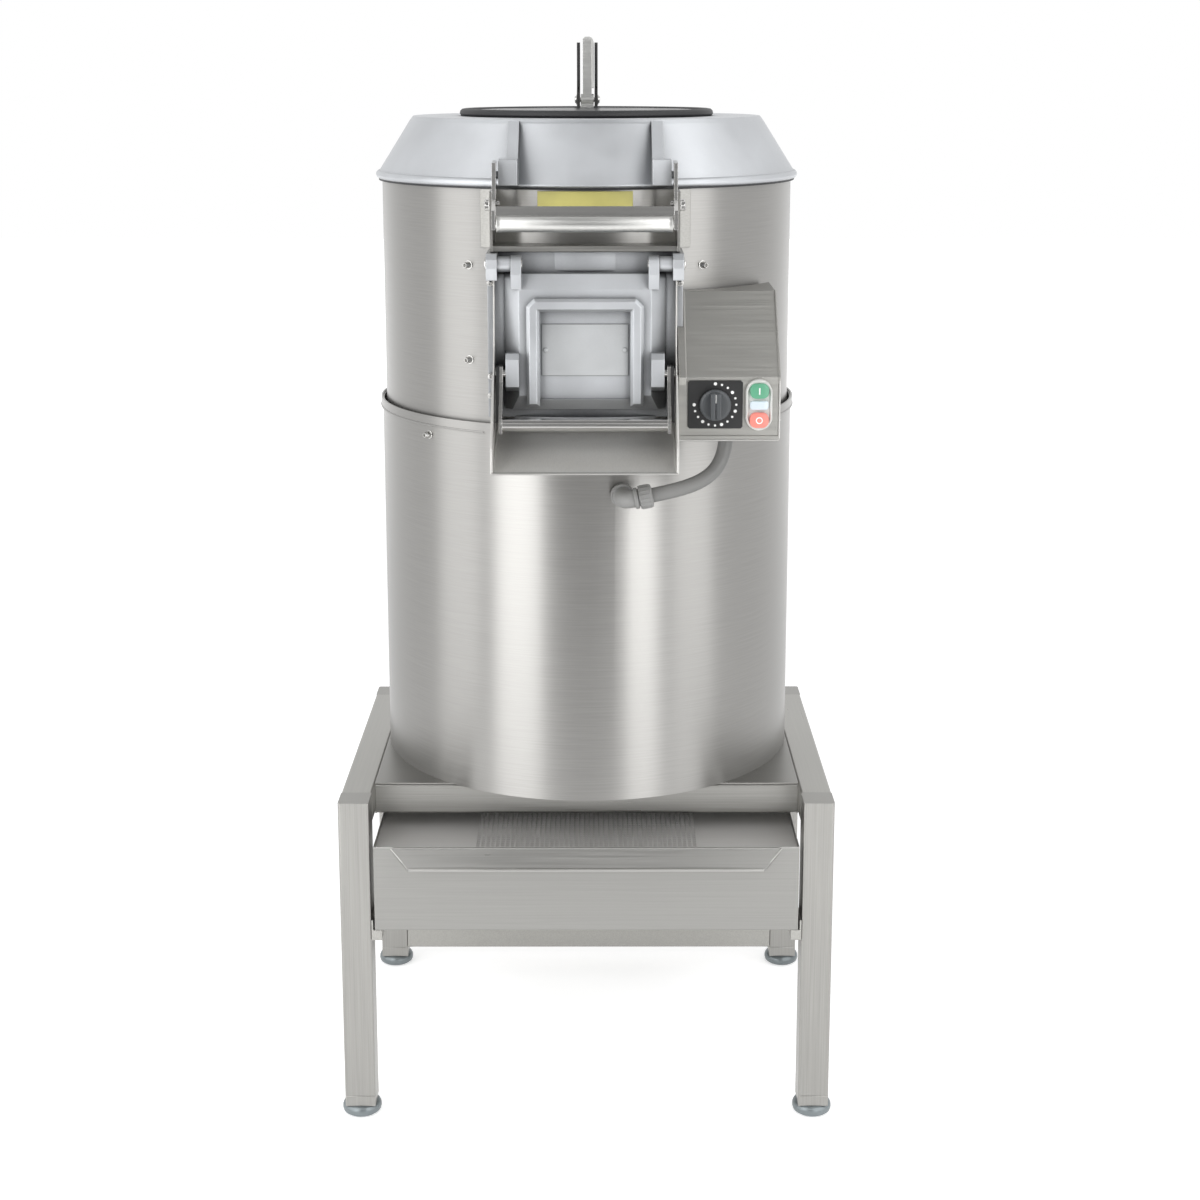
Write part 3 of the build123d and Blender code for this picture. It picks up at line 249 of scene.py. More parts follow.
polished = brushed("polished_steel", ALONG_X, (0.56, 0.56, 0.545), 0.34, 0.0006, 0.02)
# lighter copy of the steel: painted light on the filter plate, which lies in the casing's shadow
painted_light_filter_steel = brushed("painted_light_filter_steel", ALONG_X, (0.54, 0.53, 0.515), 0.45, 0.0, 0.04, 0.35)
# dark copy of the steel: painted shade for the hatch hinge bracket, whose channel lies in shadow
painted_shade_steel = brushed("painted_shade_steel", ALONG_Z, (0.10, 0.10, 0.098), 0.30)
bright_steel = brushed("bright_steel", ALONG_X, (0.58, 0.575, 0.56), 0.16, 0.0006, 0.04)
cast_alloy = cast("cast_alloy", (0.53, 0.545, 0.565))
plate_alloy = cast("plate_alloy", (0.62, 0.635, 0.645), 0.36)
rubber = moulded("rubber", (0.018, 0.018, 0.02), 0.55, 500, 0.2)
smoked = moulded("smoked_cover", (0.022, 0.023, 0.026), 0.28, 300, 0.05)
foot_grey = moulded("foot_grey", (0.20, 0.225, 0.235), 0.35, 700, 0.15, 0.6)
conduit_grey = moulded("conduit_grey", (0.19, 0.19, 0.185), 0.5)
gland_grey = moulded("gland_grey", (0.27, 0.27, 0.265), 0.45)
black = moulded("black_plastic", (0.007, 0.007, 0.0075), 0.4)
knob_grey = moulded("knob_grey", (0.055, 0.06, 0.065), 0.42)
green = moulded("green_button", (0.10, 0.33, 0.20), 0.35, 300, 0.04)
red = moulded("red_button", (0.74, 0.22, 0.18), 0.35, 300, 0.04)
clear_grey = moulded("switch_bezel", (0.62, 0.62, 0.60), 0.3, 300, 0.03)
lens_white = moulded("pilot_lens_white", (0.60, 0.68, 0.74), 0.2, 300, 0.03)
grit = abrasive("abrasive_grit", (0.035, 0.035, 0.038))
iron = moulded("motor_paint", (0.10, 0.11, 0.12), 0.5, 300, 0.3)
yellow = moulded("plain_yellow", (0.62, 0.57, 0.19), 0.4, 300, 0.03)
white_mark = moulded("white_mark", (0.85, 0.85, 0.84), 0.5, 300, 0.02)

nodes(tank_steel, "upper_tank", "lower_casing", "joint_collar", "tank_floor", "drain_pipe")
nodes(steel_z, "legs_front", "legs_rear")
nodes(steel_y, "side_rails", "lower_bar_rear", "drawer_runners", "casing_base", "motor_plate")
nodes(steel_x, "crossbar_front", "crossbar_rear", "deck_plate", "bail_brackets")
nodes(drawer_steel, "drawer_pan", "drawer_filter")
nodes(painted_light_chute_steel, "chute")
nodes(box_steel, "control_box")
# hatch hinge bracket in the dark copy of the steel, which paints its shade
nodes(painted_shade_steel, "hatch_hinge_bracket")
nodes(polished, "hatch_lever")
nodes(bright_steel, "hatch_hinge_pin", "lid_bail", "lid_bail_pivots", "door_hinge_pin", "door_bail",
      "door_bail_pivots", "main_shaft", "motor_shaft", "shaft_bearings", "tank_screws")
nodes(cast_alloy, "lid", "door_frame", "discharge_door", "bearing_housing", "driven_pulley", "driver_pulley")
nodes(plate_alloy, "door_plate")
nodes(rubber, "lid_gasket", "hatch_rim", "door_seal", "shaft_seal", "drive_belt")
nodes(smoked, "hatch_cover")
nodes(foot_grey, "levelling_feet")
nodes(conduit_grey, "conduit", "conduit_gland")
nodes(black, "dial_plate", "timer", "door_bail_pads")
nodes(knob_grey, "timer_knob")
nodes(green, "start_button")
nodes(red, "stop_button")
nodes(clear_grey, "switch_body")
nodes(lens_white, "pilot_lens")
nodes(grit, "abrasive_liner", "peeling_disc")
nodes(iron, "motor")


# ---- modelling helpers ----
FRONT = (0, -1, 0)
ON_AXIS = 0.01         # radius that ends a turned section on its axis
SMOOTH_ANGLE = 35      # faces that meet at less are shaded as one, in degrees
BEVEL_ANGLE = 30       # edges sharper than this are bevelled, in degrees


def finished(name, mesh, material, body="machine", smooth=True, bevel=0.0, segments=2):
    """Turn a bmesh into a piece of the object, in millimetres about the tank axis."""
    bmesh.ops.recalc_face_normals(mesh, faces=mesh.faces)
    data = bpy.data.meshes.new(name)
    mesh.to_mesh(data)
    mesh.free()
    data.transform(Matrix.Translation((0, AXIS_Y, 0)) @ Matrix.Scale(MM, 4))
    item = bpy.data.objects.new(name, data)
    bpy.context.collection.objects.link(item)
    data.materials.append(material)
    if bevel:
        edge = item.modifiers.new("edge", "BEVEL")
        edge.width = bevel * MM
        edge.segments = segments
        edge.limit_method = "ANGLE"
        edge.angle_limit = math.radians(BEVEL_ANGLE)
    if smooth:
        for face in data.polygons:
            face.use_smooth = True
        data.set_sharp_from_angle(angle=math.radians(SMOOTH_ANGLE))
    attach(item, body)
    return item


def towards(place, direction):
    """Matrix that puts local Z along a direction at a place."""
    turn = Vector(direction).to_track_quat("Z", "Y").to_matrix().to_4x4()
    return Matrix.Translation(place) @ turn


def add_box(mesh, x, y, z):
    """Box from three (low, high) pairs."""
    size = [pair[1] - pair[0] for pair in (x, y, z)]
    centre = [middle(pair) for pair in (x, y, z)]
    bmesh.ops.create_cube(mesh, size=1, matrix=Matrix.Translation(centre) @ Matrix.Diagonal((*size, 1)))


def add_turned(mesh, profile, matrix=None, steps=48):
    """Turn (radius, height) points about the local Z axis; the section ends at ON_AXIS or on itself."""
    matrix = matrix or Matrix.Identity(4)
    rings = []
    for index in range(steps):
        angle = math.radians(360 * index / steps)
        points = [Vector((r * math.cos(angle), r * math.sin(angle), height)) for r, height in profile]
        rings.append([mesh.verts.new(matrix @ point) for point in points])
    for index in range(steps):
        first, second = rings[index], rings[(index + 1) % steps]
        for k in range(len(profile) - 1):
            mesh.faces.new((first[k], second[k], second[k + 1], first[k + 1]))


def add_skin(mesh, rings):
    """Faces between rings of points, and one over each end."""
    total = len(rings[0])
    for first, second in zip(rings, rings[1:]):
        for index in range(total):
            follow = (index + 1) % total
            mesh.faces.new((first[index], first[follow], second[follow], second[index]))
    mesh.faces.new(rings[0])
    mesh.faces.new(rings[-1])


def add_tube(mesh, points, radius, sides=16):
    """Round tube along points; radius is a number or one value for each point."""
    radii = radius if isinstance(radius, list) else [radius] * len(points)
    points = [Vector(p) for p in points]
    normal = None
    rings = []
    for index, point in enumerate(points):
        before = points[max(index - 1, 0)]
        after = points[min(index + 1, len(points) - 1)]
        way = (after - before).normalized()
        if normal is None:
            seed = Vector((0, 0, 1)) if abs(way.z) < 0.9 else Vector((1, 0, 0))
            normal = way.cross(seed).normalized()
        normal = (normal - way * normal.dot(way)).normalized()
        other = way.cross(normal)
        ring = []
        for step in range(sides):
            angle = 2 * math.pi * step / sides
            offset = normal * math.cos(angle) + other * math.sin(angle)
            ring.append(mesh.verts.new(point + offset * radii[index]))
        rings.append(ring)
    add_skin(mesh, rings)


def ripple(radius, step, count):
    """Radii that rise and fall by turns, for a weld bead or a ribbed hose."""
    return [radius + step * (index % 2) for index in range(count)]


def open_circle(radius, z, gap, steps):
    """Circle about the tank axis, left open by the angle gap, in degrees, on each side of the front."""
    points = []
    for index in range(steps + 1):
        angle = math.radians(-90 + gap + index * (360 - 2 * gap) / steps)
        points.append((radius * math.cos(angle), radius * math.sin(angle), z))
    return points


def rounded_corner(before, corner, after, radius, steps=8):
    """Path of three points with its corner rounded off."""
    first = (before - corner).normalized()
    second = (after - corner).normalized()
    reach = radius / math.tan(first.angle(second) / 2)
    start, end = corner + first * reach, corner + second * reach
    path = [before]
    for index in range(steps + 1):
        t = index / steps
        path.append(start * (1 - t) ** 2 + corner * (2 * t * (1 - t)) + end * t ** 2)
    return path + [after]


# ---- lid and hatch ----
def lid_trim():
    """Rolled bead of the lid's flange, sealing ring of the hatch and dished hatch cover."""
    bead_in, bead_up, bead_r, bead_gap = 3.2, 4.5, 4.6, 17.5
    lid_x, _, lid_z = extent("lid")
    mesh = bmesh.new()
    add_tube(mesh, open_circle(half(lid_x) - bead_in, lid_z[0] + bead_up, bead_gap, 120), bead_r, 14)
    finished("lid_rolled_bead", mesh, cast_alloy)
    rim_x, _, rim_z = extent("hatch_rim")
    outer, low = half(rim_x), rim_z[0]
    section = [(-10, 0), (-1, 0), (0.6, 2.2), (0, 5.2), (-2.2, 7.4), (-5, 7.9), (-7.8, 7.2), (-9.2, 5.6),
               (-10, 5.2), (-10, 0)]   # from the outer edge, and from the underside
    mesh = bmesh.new()
    add_turned(mesh, [(outer + out, low + up) for out, up in section], steps=120)
    rim = finished("hatch_seal_ring", mesh, rubber, "hatch")
    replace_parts(rim, "hatch_rim")
    inner = outer - 9.5
    dish = [(0, 4.4), (0.45, 4.9), (0.8, 5.3), (0.86, 6.3), (0.90, 6.3), (0.94, 4.8), (1, 4.8), (1, 0.8),
            (0, 0.8)]   # share of the radius, and height
    mesh = bmesh.new()
    add_turned(mesh, [(max(inner * share, ON_AXIS), low + up) for share, up in dish], steps=120)
    cover = finished("hatch_dished_cover", mesh, smoked, "hatch")
    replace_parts(cover, "hatch_cover")


def hatch_handle():
    """Rounded grip along the lever of the hatch."""
    aside, from_back, above_pin = 2.4, 5.5, 14
    _, y_pair, z_pair = extent("hatch_lever")
    top = z_pair[1]
    heights = (middle(extent("hatch_hinge_pin")[2]) + above_pin, top - 6, top - 3, top - 1, top)
    mesh = bmesh.new()
    add_tube(mesh, [(aside, y_pair[1] - from_back, z) for z in heights], [5.6, 5.6, 4.6, 3.0, 0.6], 20)
    finished("hatch_lever_grip", mesh, polished, "hatch")


def hatch_bracket_detail():
    """Caps on the hinge pin of the hatch and dark strips up the cheeks of its bracket."""
    x_pair, _, z_pair = extent("hatch_hinge_bracket")
    _, pin_y, pin_z = extent("hatch_hinge_pin")
    y, z = middle(pin_y), middle(pin_z)
    cap = [(6.2, 0), (6.2, 0.9), (4.6, 1.0), (4.4, 2.2), (3.2, 2.8), (ON_AXIS, 3.0)]
    mesh = bmesh.new()
    for side in (-1, 1):
        add_turned(mesh, cap, towards((side * x_pair[1], y, z), (side, 0, 0)), 32)
    finished("hatch_pin_caps", mesh, bright_steel)
    strip_x, strip_y, above_pin = (3.6, 0.4), (3.4, 4.4), 22
    mesh = bmesh.new()
    for side in (-1, 1):
        add_box(mesh, sorted(side * (x_pair[1] - inset) for inset in strip_x),
                (y + strip_y[0], y + strip_y[1]), (z + above_pin, z_pair[1] - 3))
    finished("hatch_cheek_strips", mesh, rubber, bevel=0.3)


def bail_grip():
    """Round sleeve over the bar of the lid bail, with a collar at each end."""
    half_length, bar_in = 92, 8
    _, y_pair, z_pair = extent("lid_bail")
    profile = [(6.5, 0), (8.6, 0), (9.3, 0.8), (9.3, 5.2), (8.9, 5.8), (8.9, 178.2), (9.3, 178.8),
               (9.3, 183.2), (8.6, 184), (6.5, 184)]
    mesh = bmesh.new()
    add_turned(mesh, profile, towards((-half_length, y_pair[0] + bar_in, z_pair[0] + bar_in), (1, 0, 0)), 48)
    finished("lid_bail_sleeve", mesh, polished, "lid_bail_body")


# ---- label, dial and knob ----
def label_plate():
    """Bare yellow plate on the tank below the lid, curved with the tank."""
    half_width, low, high = 51, 1045.5, 1065.5
    proud, sunk, steps = 0.7, -0.3, 24
    mesh = bmesh.new()
    rings = []
    for index in range(steps + 1):
        x = -half_width + 2 * half_width * index / steps
        near, far = (-math.sqrt((TANK_R + lift) ** 2 - x ** 2) for lift in (proud, sunk))
        corners = ((x, near, low), (x, near, high), (x, far, high), (x, far, low))
        rings.append([mesh.verts.new(corner) for corner in corners])
    add_skin(mesh, rings)
    finished("label_plate_bare", mesh, yellow)


def dial_marks():
    """Raised dots round the knob, every third one larger."""
    dots, step, circle_r, large, small = 16, 18, 22.2, 1.75, 1.25
    x_pair, y_pair, z_pair = extent("dial_plate")
    x, z = middle(x_pair), middle(z_pair)
    mesh = bmesh.new()
    for index in range(dots):
        angle = math.radians(90 - index * step)
        radius = small if index % 3 else large
        place = (x + circle_r * math.cos(angle), y_pair[0], z + circle_r * math.sin(angle))
        add_turned(mesh, [(radius, 0), (radius, 0.2), (ON_AXIS, 0.3)], towards(place, FRONT), 16)
    finished("dial_dots", mesh, white_mark)


def knob_detail():
    """Knob with a knurled skirt, a grip split by a groove, and a pointer."""
    skirt_in, depth, knurls, knurl_r = 2.0, 17.0, 32, 0.45
    grip_half, groove_half, grip_foot = 5.6, 0.7, 5.6
    x_pair, y_pair, z_pair = extent("timer_knob")
    x, front, z = middle(x_pair), y_pair[0], middle(z_pair)
    radius, back = half(x_pair) - skirt_in, front + depth
    skirt = [(radius - 1.2, 0), (radius, 0.8), (radius, 4.6), (radius - 1.4, 6.0), (radius - 3.4, 6.4),
             (ON_AXIS, 6.6)]
    mesh = bmesh.new()
    add_turned(mesh, skirt, towards((x, back, z), FRONT), 64)
    for index in range(knurls):
        angle = 2 * math.pi * index / knurls
        foot = Vector((x + radius * math.cos(angle), back - 0.9, z + radius * math.sin(angle)))
        add_tube(mesh, [foot, foot + Vector((0, -3.6, 0))], knurl_r, 6)
    base = finished("knob_skirt", mesh, knob_grey, "knob")
    mesh = bmesh.new()
    for side in (-1, 1):
        add_box(mesh, sorted((x + side * groove_half, x + side * grip_half)),
                (front + 0.4, back - grip_foot), (z - radius + 2.4, z + radius - 2.4))
    add_box(mesh, (x - grip_half + 0.6, x + grip_half - 0.6), (front + 2.2, back - grip_foot),
            (z - radius + 3, z + radius - 3))
    finished("knob_grip", mesh, knob_grey, "knob", bevel=1.3, segments=4)
    mesh = bmesh.new()
    add_box(mesh, (x - 0.6, x + 0.6), (front + 1.9, front + 2.4), (z + 4, z + radius - 3.6))
    finished("knob_pointer", mesh, white_mark, "knob", bevel=0.15)
    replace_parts(base, "timer_knob")


# ---- push-buttons ----
def rounded_slab(mesh, x, z, size, y_pair, corner, crown, steps=8):
    """Rounded rectangle of a (width, height) size facing -Y, with a slightly raised middle."""
    front, back = y_pair
    outline = []
    for side_x, side_z, start in ((1, 1, 0), (-1, 1, 90), (-1, -1, 180), (1, -1, 270)):
        for index in range(steps + 1):
            angle = math.radians(start + 90 * index / steps)
            outline.append((side_x * (size[0] / 2 - corner) + corner * math.cos(angle),
                            side_z * (size[1] / 2 - corner) + corner * math.sin(angle)))
    levels = ((1.0, back), (1.0, front + 1.0), (0.965, front + 0.3), (0.90, front), (0.45, front - crown))
    rings = []
    for scale, y in levels:
        rings.append([mesh.verts.new((x + px * scale, y, z + pz * scale)) for px, pz in outline])
    add_skin(mesh, rings)


def push_buttons():
    """Bezel with two flush buttons, a pilot lens and the marks for on and off."""
    end_r, end_up, steps = 14, 13.0, 64   # the bezel's round ends lie above and below its middle
    x_pair, y_pair, z_pair = extent("switch_body")
    x, front, z = middle(x_pair), y_pair[0], middle(z_pair)
    levels = ((1.0, 7.0), (1.0, 1.6), (0.95, 0.2), (0.90, 0), (0.84, 0.5), (0.82, 2.4))   # scale and depth
    mesh = bmesh.new()
    rings = []
    for scale, depth in levels:
        ring = []
        for index in range(steps):
            angle = 2 * math.pi * index / steps
            run = end_up if math.sin(angle) > 0 else -end_up
            ring.append(mesh.verts.new((x + end_r * scale * math.cos(angle), front + depth,
                                        z + run * scale ** 0.5 + end_r * scale * math.sin(angle))))
        rings.append(ring)
    add_skin(mesh, rings)
    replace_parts(finished("switch_bezel", mesh, clear_grey), "switch_body")
    cap_size, cap_depth = (20, 16), 5.4
    for name, node, body, material, slot in (("start_cap", "start_button", "start", green, "green_plastic"),
                                             ("stop_cap", "stop_button", "stop", red, "red_plastic")):
        _, cap_y, cap_z = extent(node)
        front, z = cap_y[0], middle(cap_z)
        mesh = bmesh.new()
        rounded_slab(mesh, x, z, cap_size, (front, front + cap_depth), 6.5, 0.3)
        cap = finished(name, mesh, material, body)
        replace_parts(cap, node)
        mesh = bmesh.new()
        if body == "start":
            add_box(mesh, (x - 0.7, x + 0.7), (front - 0.5, front + 0.4), (z - 3.6, z + 3.6))
        else:
            add_turned(mesh, [(2.5, 0), (2.5, 0.9), (3.7, 0.9), (3.7, 0)],
                       towards((x, front + 0.4, z), FRONT), 32)
        finished(name + "_mark", mesh, white_mark, body)
    lens_size = (19.4, 9.4)
    mesh = bmesh.new()
    rounded_slab(mesh, x, middle(z_pair), lens_size, extent("pilot_lens")[1], 3.0, 0.4)
    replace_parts(finished("pilot_window", mesh, lens_white), "pilot_lens")


# ---- drawer ----
def filter_sheet():
    """Filter plate with its fine perforation, in the middle of the pan."""
    thick, flange, pitch, columns, hole_half = 1.5, 1.4, 5.6, 45, 1.95
    margin_front, margins = 8, 30
    (x0, x1), (y0, y1), (z0, z1) = extent("drawer_filter")
    top = z0 + thick
    rows = int((y1 - y0 - margins) // pitch)
    side, start = columns * pitch / 2, y0 + margin_front
    xs = [x0, -side] + [-side + pitch * k for k in range(1, columns)] + [side, x1]
    ys = [y0, start] + [start + pitch * k for k in range(1, rows)] + [start + rows * pitch, y1]
    mesh = bmesh.new()
    grid = [[mesh.verts.new((x, y, top)) for x in xs] for y in ys]
    holes = []
    for j in range(len(ys) - 1):
        for i in range(len(xs) - 1):
            corners = (grid[j][i], grid[j][i + 1], grid[j + 1][i + 1], grid[j + 1][i])
            if not (0 < i < len(xs) - 2 and 0 < j < len(ys) - 2):
                mesh.faces.new(corners)
                continue
            x, y = middle(xs[i:i + 2]), middle(ys[j:j + 2])
            hole = [mesh.verts.new((x + sx * hole_half, y + sy * hole_half, top))
                    for sx, sy in ((-1, -1), (1, -1), (1, 1), (-1, 1))]
            for k in range(4):
                mesh.faces.new((corners[k], corners[(k + 1) % 4], hole[(k + 1) % 4], hole[k]))
            holes.append(hole)
    for hole in holes:
        below = [mesh.verts.new(corner.co - Vector((0, 0, thick))) for corner in hole]
        for k in range(4):
            mesh.faces.new((hole[k], hole[(k + 1) % 4], below[(k + 1) % 4], below[k]))
    for y_pair in ((y0, y0 + flange), (y1 - flange, y1)):
        add_box(mesh, (x0, x1), y_pair, (top - thick, z1))
    sheet = finished("filter_perforated", mesh, painted_light_filter_steel, "drawer", smooth=False)
    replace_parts(sheet, "drawer_filter")


def drawer_hems():
    """Rolled hems along the grip and the upper edges of the pan."""
    grip_drop, grip_in, face_in = 20.5, 41, 15
    (_, x1), (front, back), (_, top) = extent("drawer_pan")
    span, face = x1 - grip_in, front + face_in
    mesh = bmesh.new()
    add_tube(mesh, [(-span, front + 0.4, top - grip_drop), (span, front + 0.4, top - grip_drop)], 2.0, 12)
    for side in (-1, 1):
        add_tube(mesh, [(side * (x1 - 20), face, top - 1.2), (side * span, front + 0.6, top - grip_drop)],
                 0.9, 8)
        add_tube(mesh, [(side * (x1 - 0.9), face + 1, top), (side * (x1 - 0.9), back - 1, top)], 1.1, 8)
        add_tube(mesh, [(side * (x1 - 1), face + 0.9, top), (side * (x1 - 22), face + 0.9, top)], 1.1, 8)
    add_tube(mesh, [(-x1 + 2, back - 0.9, top), (x1 - 2, back - 0.9, top)], 1.1, 8)
    finished("drawer_hems", mesh, hem_steel, "drawer")


# ---- stand ----
def stand_detail():
    """Glides with their spindles, ferrules at the foot of the legs, and weld beads."""
    glide_r, tube = 22.5, 35
    x_pair, y_pair, _ = extent("levelling_feet")
    places = [(x, y) for x in (x_pair[0] + glide_r, x_pair[1] - glide_r)
              for y in (y_pair[0] + glide_r, y_pair[1] - glide_r)]
    glide = [(ON_AXIS, 0), (13.0, 0), (18.5, 1.2), (21.6, 3.6), (glide_r, 6.6), (22.4, 9.6), (21.2, 12.4),
             (19.0, 13.8), (10, 14.0), (10, 38), (ON_AXIS, 38)]
    mesh = bmesh.new()
    for x, y in places:
        add_turned(mesh, glide, Matrix.Translation((x, y, 0)), 40)
    feet = finished("glides", mesh, foot_grey)
    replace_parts(feet, "levelling_feet")
    ferrule_half, ferrule_z = 17.4, (13.8, 27.2)
    mesh = bmesh.new()
    for x, y in places:
        add_box(mesh, (x - ferrule_half, x + ferrule_half), (y - ferrule_half, y + ferrule_half), ferrule_z)
    finished("leg_ferrules", mesh, steel_z, bevel=0.8)
    weld_x = extent("legs_rear")[0][1] - tube - 0.4
    steps, run = 24, 33
    mesh = bmesh.new()
    for node, heights in (("legs_rear", (28, 61.5, 347.5, 381.5)), ("crossbar_front", (348, 381))):
        start = extent(node)[1][0] + 1
        for side in (-1, 1):
            for z in heights:
                points = [(side * weld_x, start + run * k / steps + 0.5 * (k % 2), z)
                          for k in range(steps + 1)]
                add_tube(mesh, points, ripple(1.5, 0.35, steps + 1), 6)
    finished("weld_beads", mesh, steel_y)


# ---- screws ----
def add_screw(mesh, place, way, radius, high, socket=2.0):
    """Button-head screw on a washer, with a round socket."""
    washer, washer_t = radius + 0.9, 1.0
    matrix = towards(place, way)
    add_turned(mesh, [(washer, 0), (washer, 0.9), (radius, washer_t)], matrix, 28)
    top, floor = washer_t + high, washer_t + high * 0.4
    profile = [(radius, washer_t), (radius, 1.6), (radius * 0.92, washer_t + high * 0.55),
               (radius * 0.7, washer_t + high * 0.85), (socket + 0.5, top), (socket, top), (socket, floor),
               (ON_AXIS, floor)]
    add_turned(mesh, profile, matrix, 28)


def screws_and_nuts():
    """Screws of the tank, the door frame and the control box, and the nuts of the lid bail."""
    places = ((-32, 984, TANK_R), (-32, 880, TANK_R), (32, 984, TANK_R), (-46, 790, CASING_R))
    mesh = bmesh.new()
    for degrees, z, radius in places:
        turn = math.radians(degrees)
        way = Vector((math.sin(turn), -math.cos(turn), 0))
        add_screw(mesh, way * (radius - 0.2) + Vector((0, 0, z)), way, 3.9, 7.0)
    frame_front = -260.0
    for x, z in ((-101, 970), (101, 970), (-101, 870), (-101, 849)):
        add_screw(mesh, (x, frame_front, z), FRONT, 2.6, 3.0, 1.2)
    screws = finished("button_head_screws", mesh, bright_steel)
    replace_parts(screws, "tank_screws")
    plate_x = 100.4
    _, y_pair, z_pair = extent("lid_bail_pivots")
    mesh = bmesh.new()
    for side in (-1, 1):
        matrix = towards((side * plate_x, middle(y_pair), middle(z_pair)), (side, 0, 0))
        add_turned(mesh, [(7.2, 0), (7.2, 0.8), (6.2, 0.9)], matrix, 28)
        add_turned(mesh, [(5.9, 0.9), (5.9, 4.2), (4.4, 5.6), (ON_AXIS, 6.2)], matrix, 6)
    finished("bail_nuts", mesh, bright_steel, smooth=False, bevel=0.35)
    side_x = extent("control_box")[0][1] - 0.1
    mesh = bmesh.new()
    for z, y in ((826, -275), (826, -170), (935, -205)):
        add_screw(mesh, (side_x, y, z), (1, 0, 0), 3.0, 2.2, 1.3)
    finished("box_screws", mesh, bright_steel)


# ---- door ----
def door_detail():
    """Caps on the pivots of the door bail and on the hinge pin of the door."""
    for name, node, body, profile in (
            ("door_pivot_caps", "door_bail_pivots", "door",
             [(5.4, 0), (5.4, 0.8), (4.2, 0.9), (4.0, 2.0), (2.6, 2.5), (ON_AXIS, 2.6)]),
            ("door_hinge_caps", "door_hinge_pin", "machine",
             [(6.6, 0), (6.6, 0.8), (4.4, 1.0), (4.2, 1.8), (3.0, 2.3), (ON_AXIS, 2.4)])):
        x_pair, y_pair, z_pair = extent(node)
        mesh = bmesh.new()
        for side in (-1, 1):
            matrix = towards((side * x_pair[1], middle(y_pair), middle(z_pair)), (side, 0, 0))
            add_turned(mesh, profile, matrix, 28)
        finished(name, mesh, bright_steel, body)


# ---- chute and control box ----
def chute_hems():
    """Folded hems along the lip and the free edges of the cheeks, and weld beads along the floor."""
    hem_in, weld_in, bend_y = 1.9, 1.6, -299.5
    (_, wide), (lip_y, _), (low, _) = extent("chute")
    edge, hem_y, hem_z = wide - hem_in, lip_y + 0.5, low + 0.6
    mesh = bmesh.new()
    add_tube(mesh, [(-edge, hem_y, hem_z), (edge, hem_y, hem_z)], 1.5, 12)
    for side in (-1, 1):
        add_tube(mesh, [(side * edge, hem_y, hem_z), (side * edge, hem_y, low + 26),
                        (side * (wide - 1.1), bend_y, JOINT_Z + 66.5)], 1.25, 10)
    finished("chute_hems", mesh, hem_steel)
    steps, run, rise = 30, 118, 33.0
    mesh = bmesh.new()
    for side in (-1, 1):
        points = [(side * (edge - weld_in), lip_y + 4 + run * k / steps, low + 2.4 + rise * k / steps)
                  for k in range(steps + 1)]
        add_tube(mesh, points, ripple(1.0, 0.25, steps + 1), 6)
    finished("chute_weld_beads", mesh, painted_light_chute_steel)


def box_edges():
    """Folded edges of the control box: up its right side and along its lower lip."""
    (left, right), (front, _), (low, top) = extent("control_box")
    front, right, bend, back = front + 2.4, right - 0.7, low + 68, -TANK_R + 13
    mesh = bmesh.new()
    add_tube(mesh, [(right, front, low + 3), (right, front, bend), (right, back, top - 1.5)], 1.15, 10)
    add_tube(mesh, [(left + 1, front, low + 0.9), (right, front, low + 0.9)], 1.3, 10)
    finished("box_folded_edges", mesh, hem_steel)


# ---- conduit ----
def conduit_detail():
    """Smooth conduit with a compression nut and a swept elbow on the casing."""
    x_pair, y_pair, z_pair = extent("conduit")
    gland_x, _, gland_z = extent("conduit_gland")
    hose_r, elbow_r, elbow_bend, elbow_out, elbow_in = 8, 9.6, 15, 33.5, 13
    start = Vector((x_pair[1] - hose_r, y_pair[1] - hose_r, z_pair[1]))
    corner = Vector((gland_x[0] + elbow_in, -CASING_R - elbow_out, gland_z[0] + elbow_in))
    slope = Vector((1, 0, 0.2)).normalized()
    end = corner + slope * 30
    pulls = (start + Vector((0, 0, -52)), end + slope * 58)
    steps = 40
    points = []
    for index in range(steps + 1):
        t = index / steps
        points.append(start * (1 - t) ** 3 + pulls[0] * (3 * t * (1 - t) ** 2)
                      + pulls[1] * (3 * t * t * (1 - t)) + end * t ** 3)
    mesh = bmesh.new()
    add_tube(mesh, points, ripple(7.9, 0.12, steps + 1), 24)
    hose = finished("conduit_hose", mesh, conduit_grey)
    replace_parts(hose, "conduit")
    mesh = bmesh.new()
    inside = Vector((corner.x, -CASING_R + 6, corner.z))
    add_tube(mesh, rounded_corner(corner + slope * 24, corner, inside, elbow_bend), elbow_r, 24)
    add_turned(mesh, [(9, -1), (12.4, -1), (12.8, 0), (12.8, 3.4), (12.2, 4.4), (9.4, 4.4)],
               towards((corner.x, -CASING_R - 5.5, corner.z), (0, 1, 0)), 40)
    add_turned(mesh, [(9, 0), (11.2, 0), (11.6, 0.8), (11.6, 3.4), (11.2, 4.2), (9, 4.2)],
               towards(corner + slope * 13, slope), 40)
    elbow = finished("conduit_elbow", mesh, gland_grey)
    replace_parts(elbow, "conduit_gland")
    grips, grip_r, grip_length = 18, 12.4, 10
    base = towards(corner + slope * 18.5, slope)
    mesh = bmesh.new()
    add_turned(mesh, [(8.5, 0), (12.0, 0), (12.6, 0.8), (12.6, 12.2), (11.6, 13.6), (8.3, 14.6)], base, 48)
    for index in range(grips):
        angle = 2 * math.pi * index / grips
        foot = Vector((grip_r * math.cos(angle), grip_r * math.sin(angle), 1.4))
        add_tube(mesh, [base @ foot, base @ (foot + Vector((0, 0, grip_length)))], 0.75, 8)
    finished("gland_nut", mesh, gland_grey)


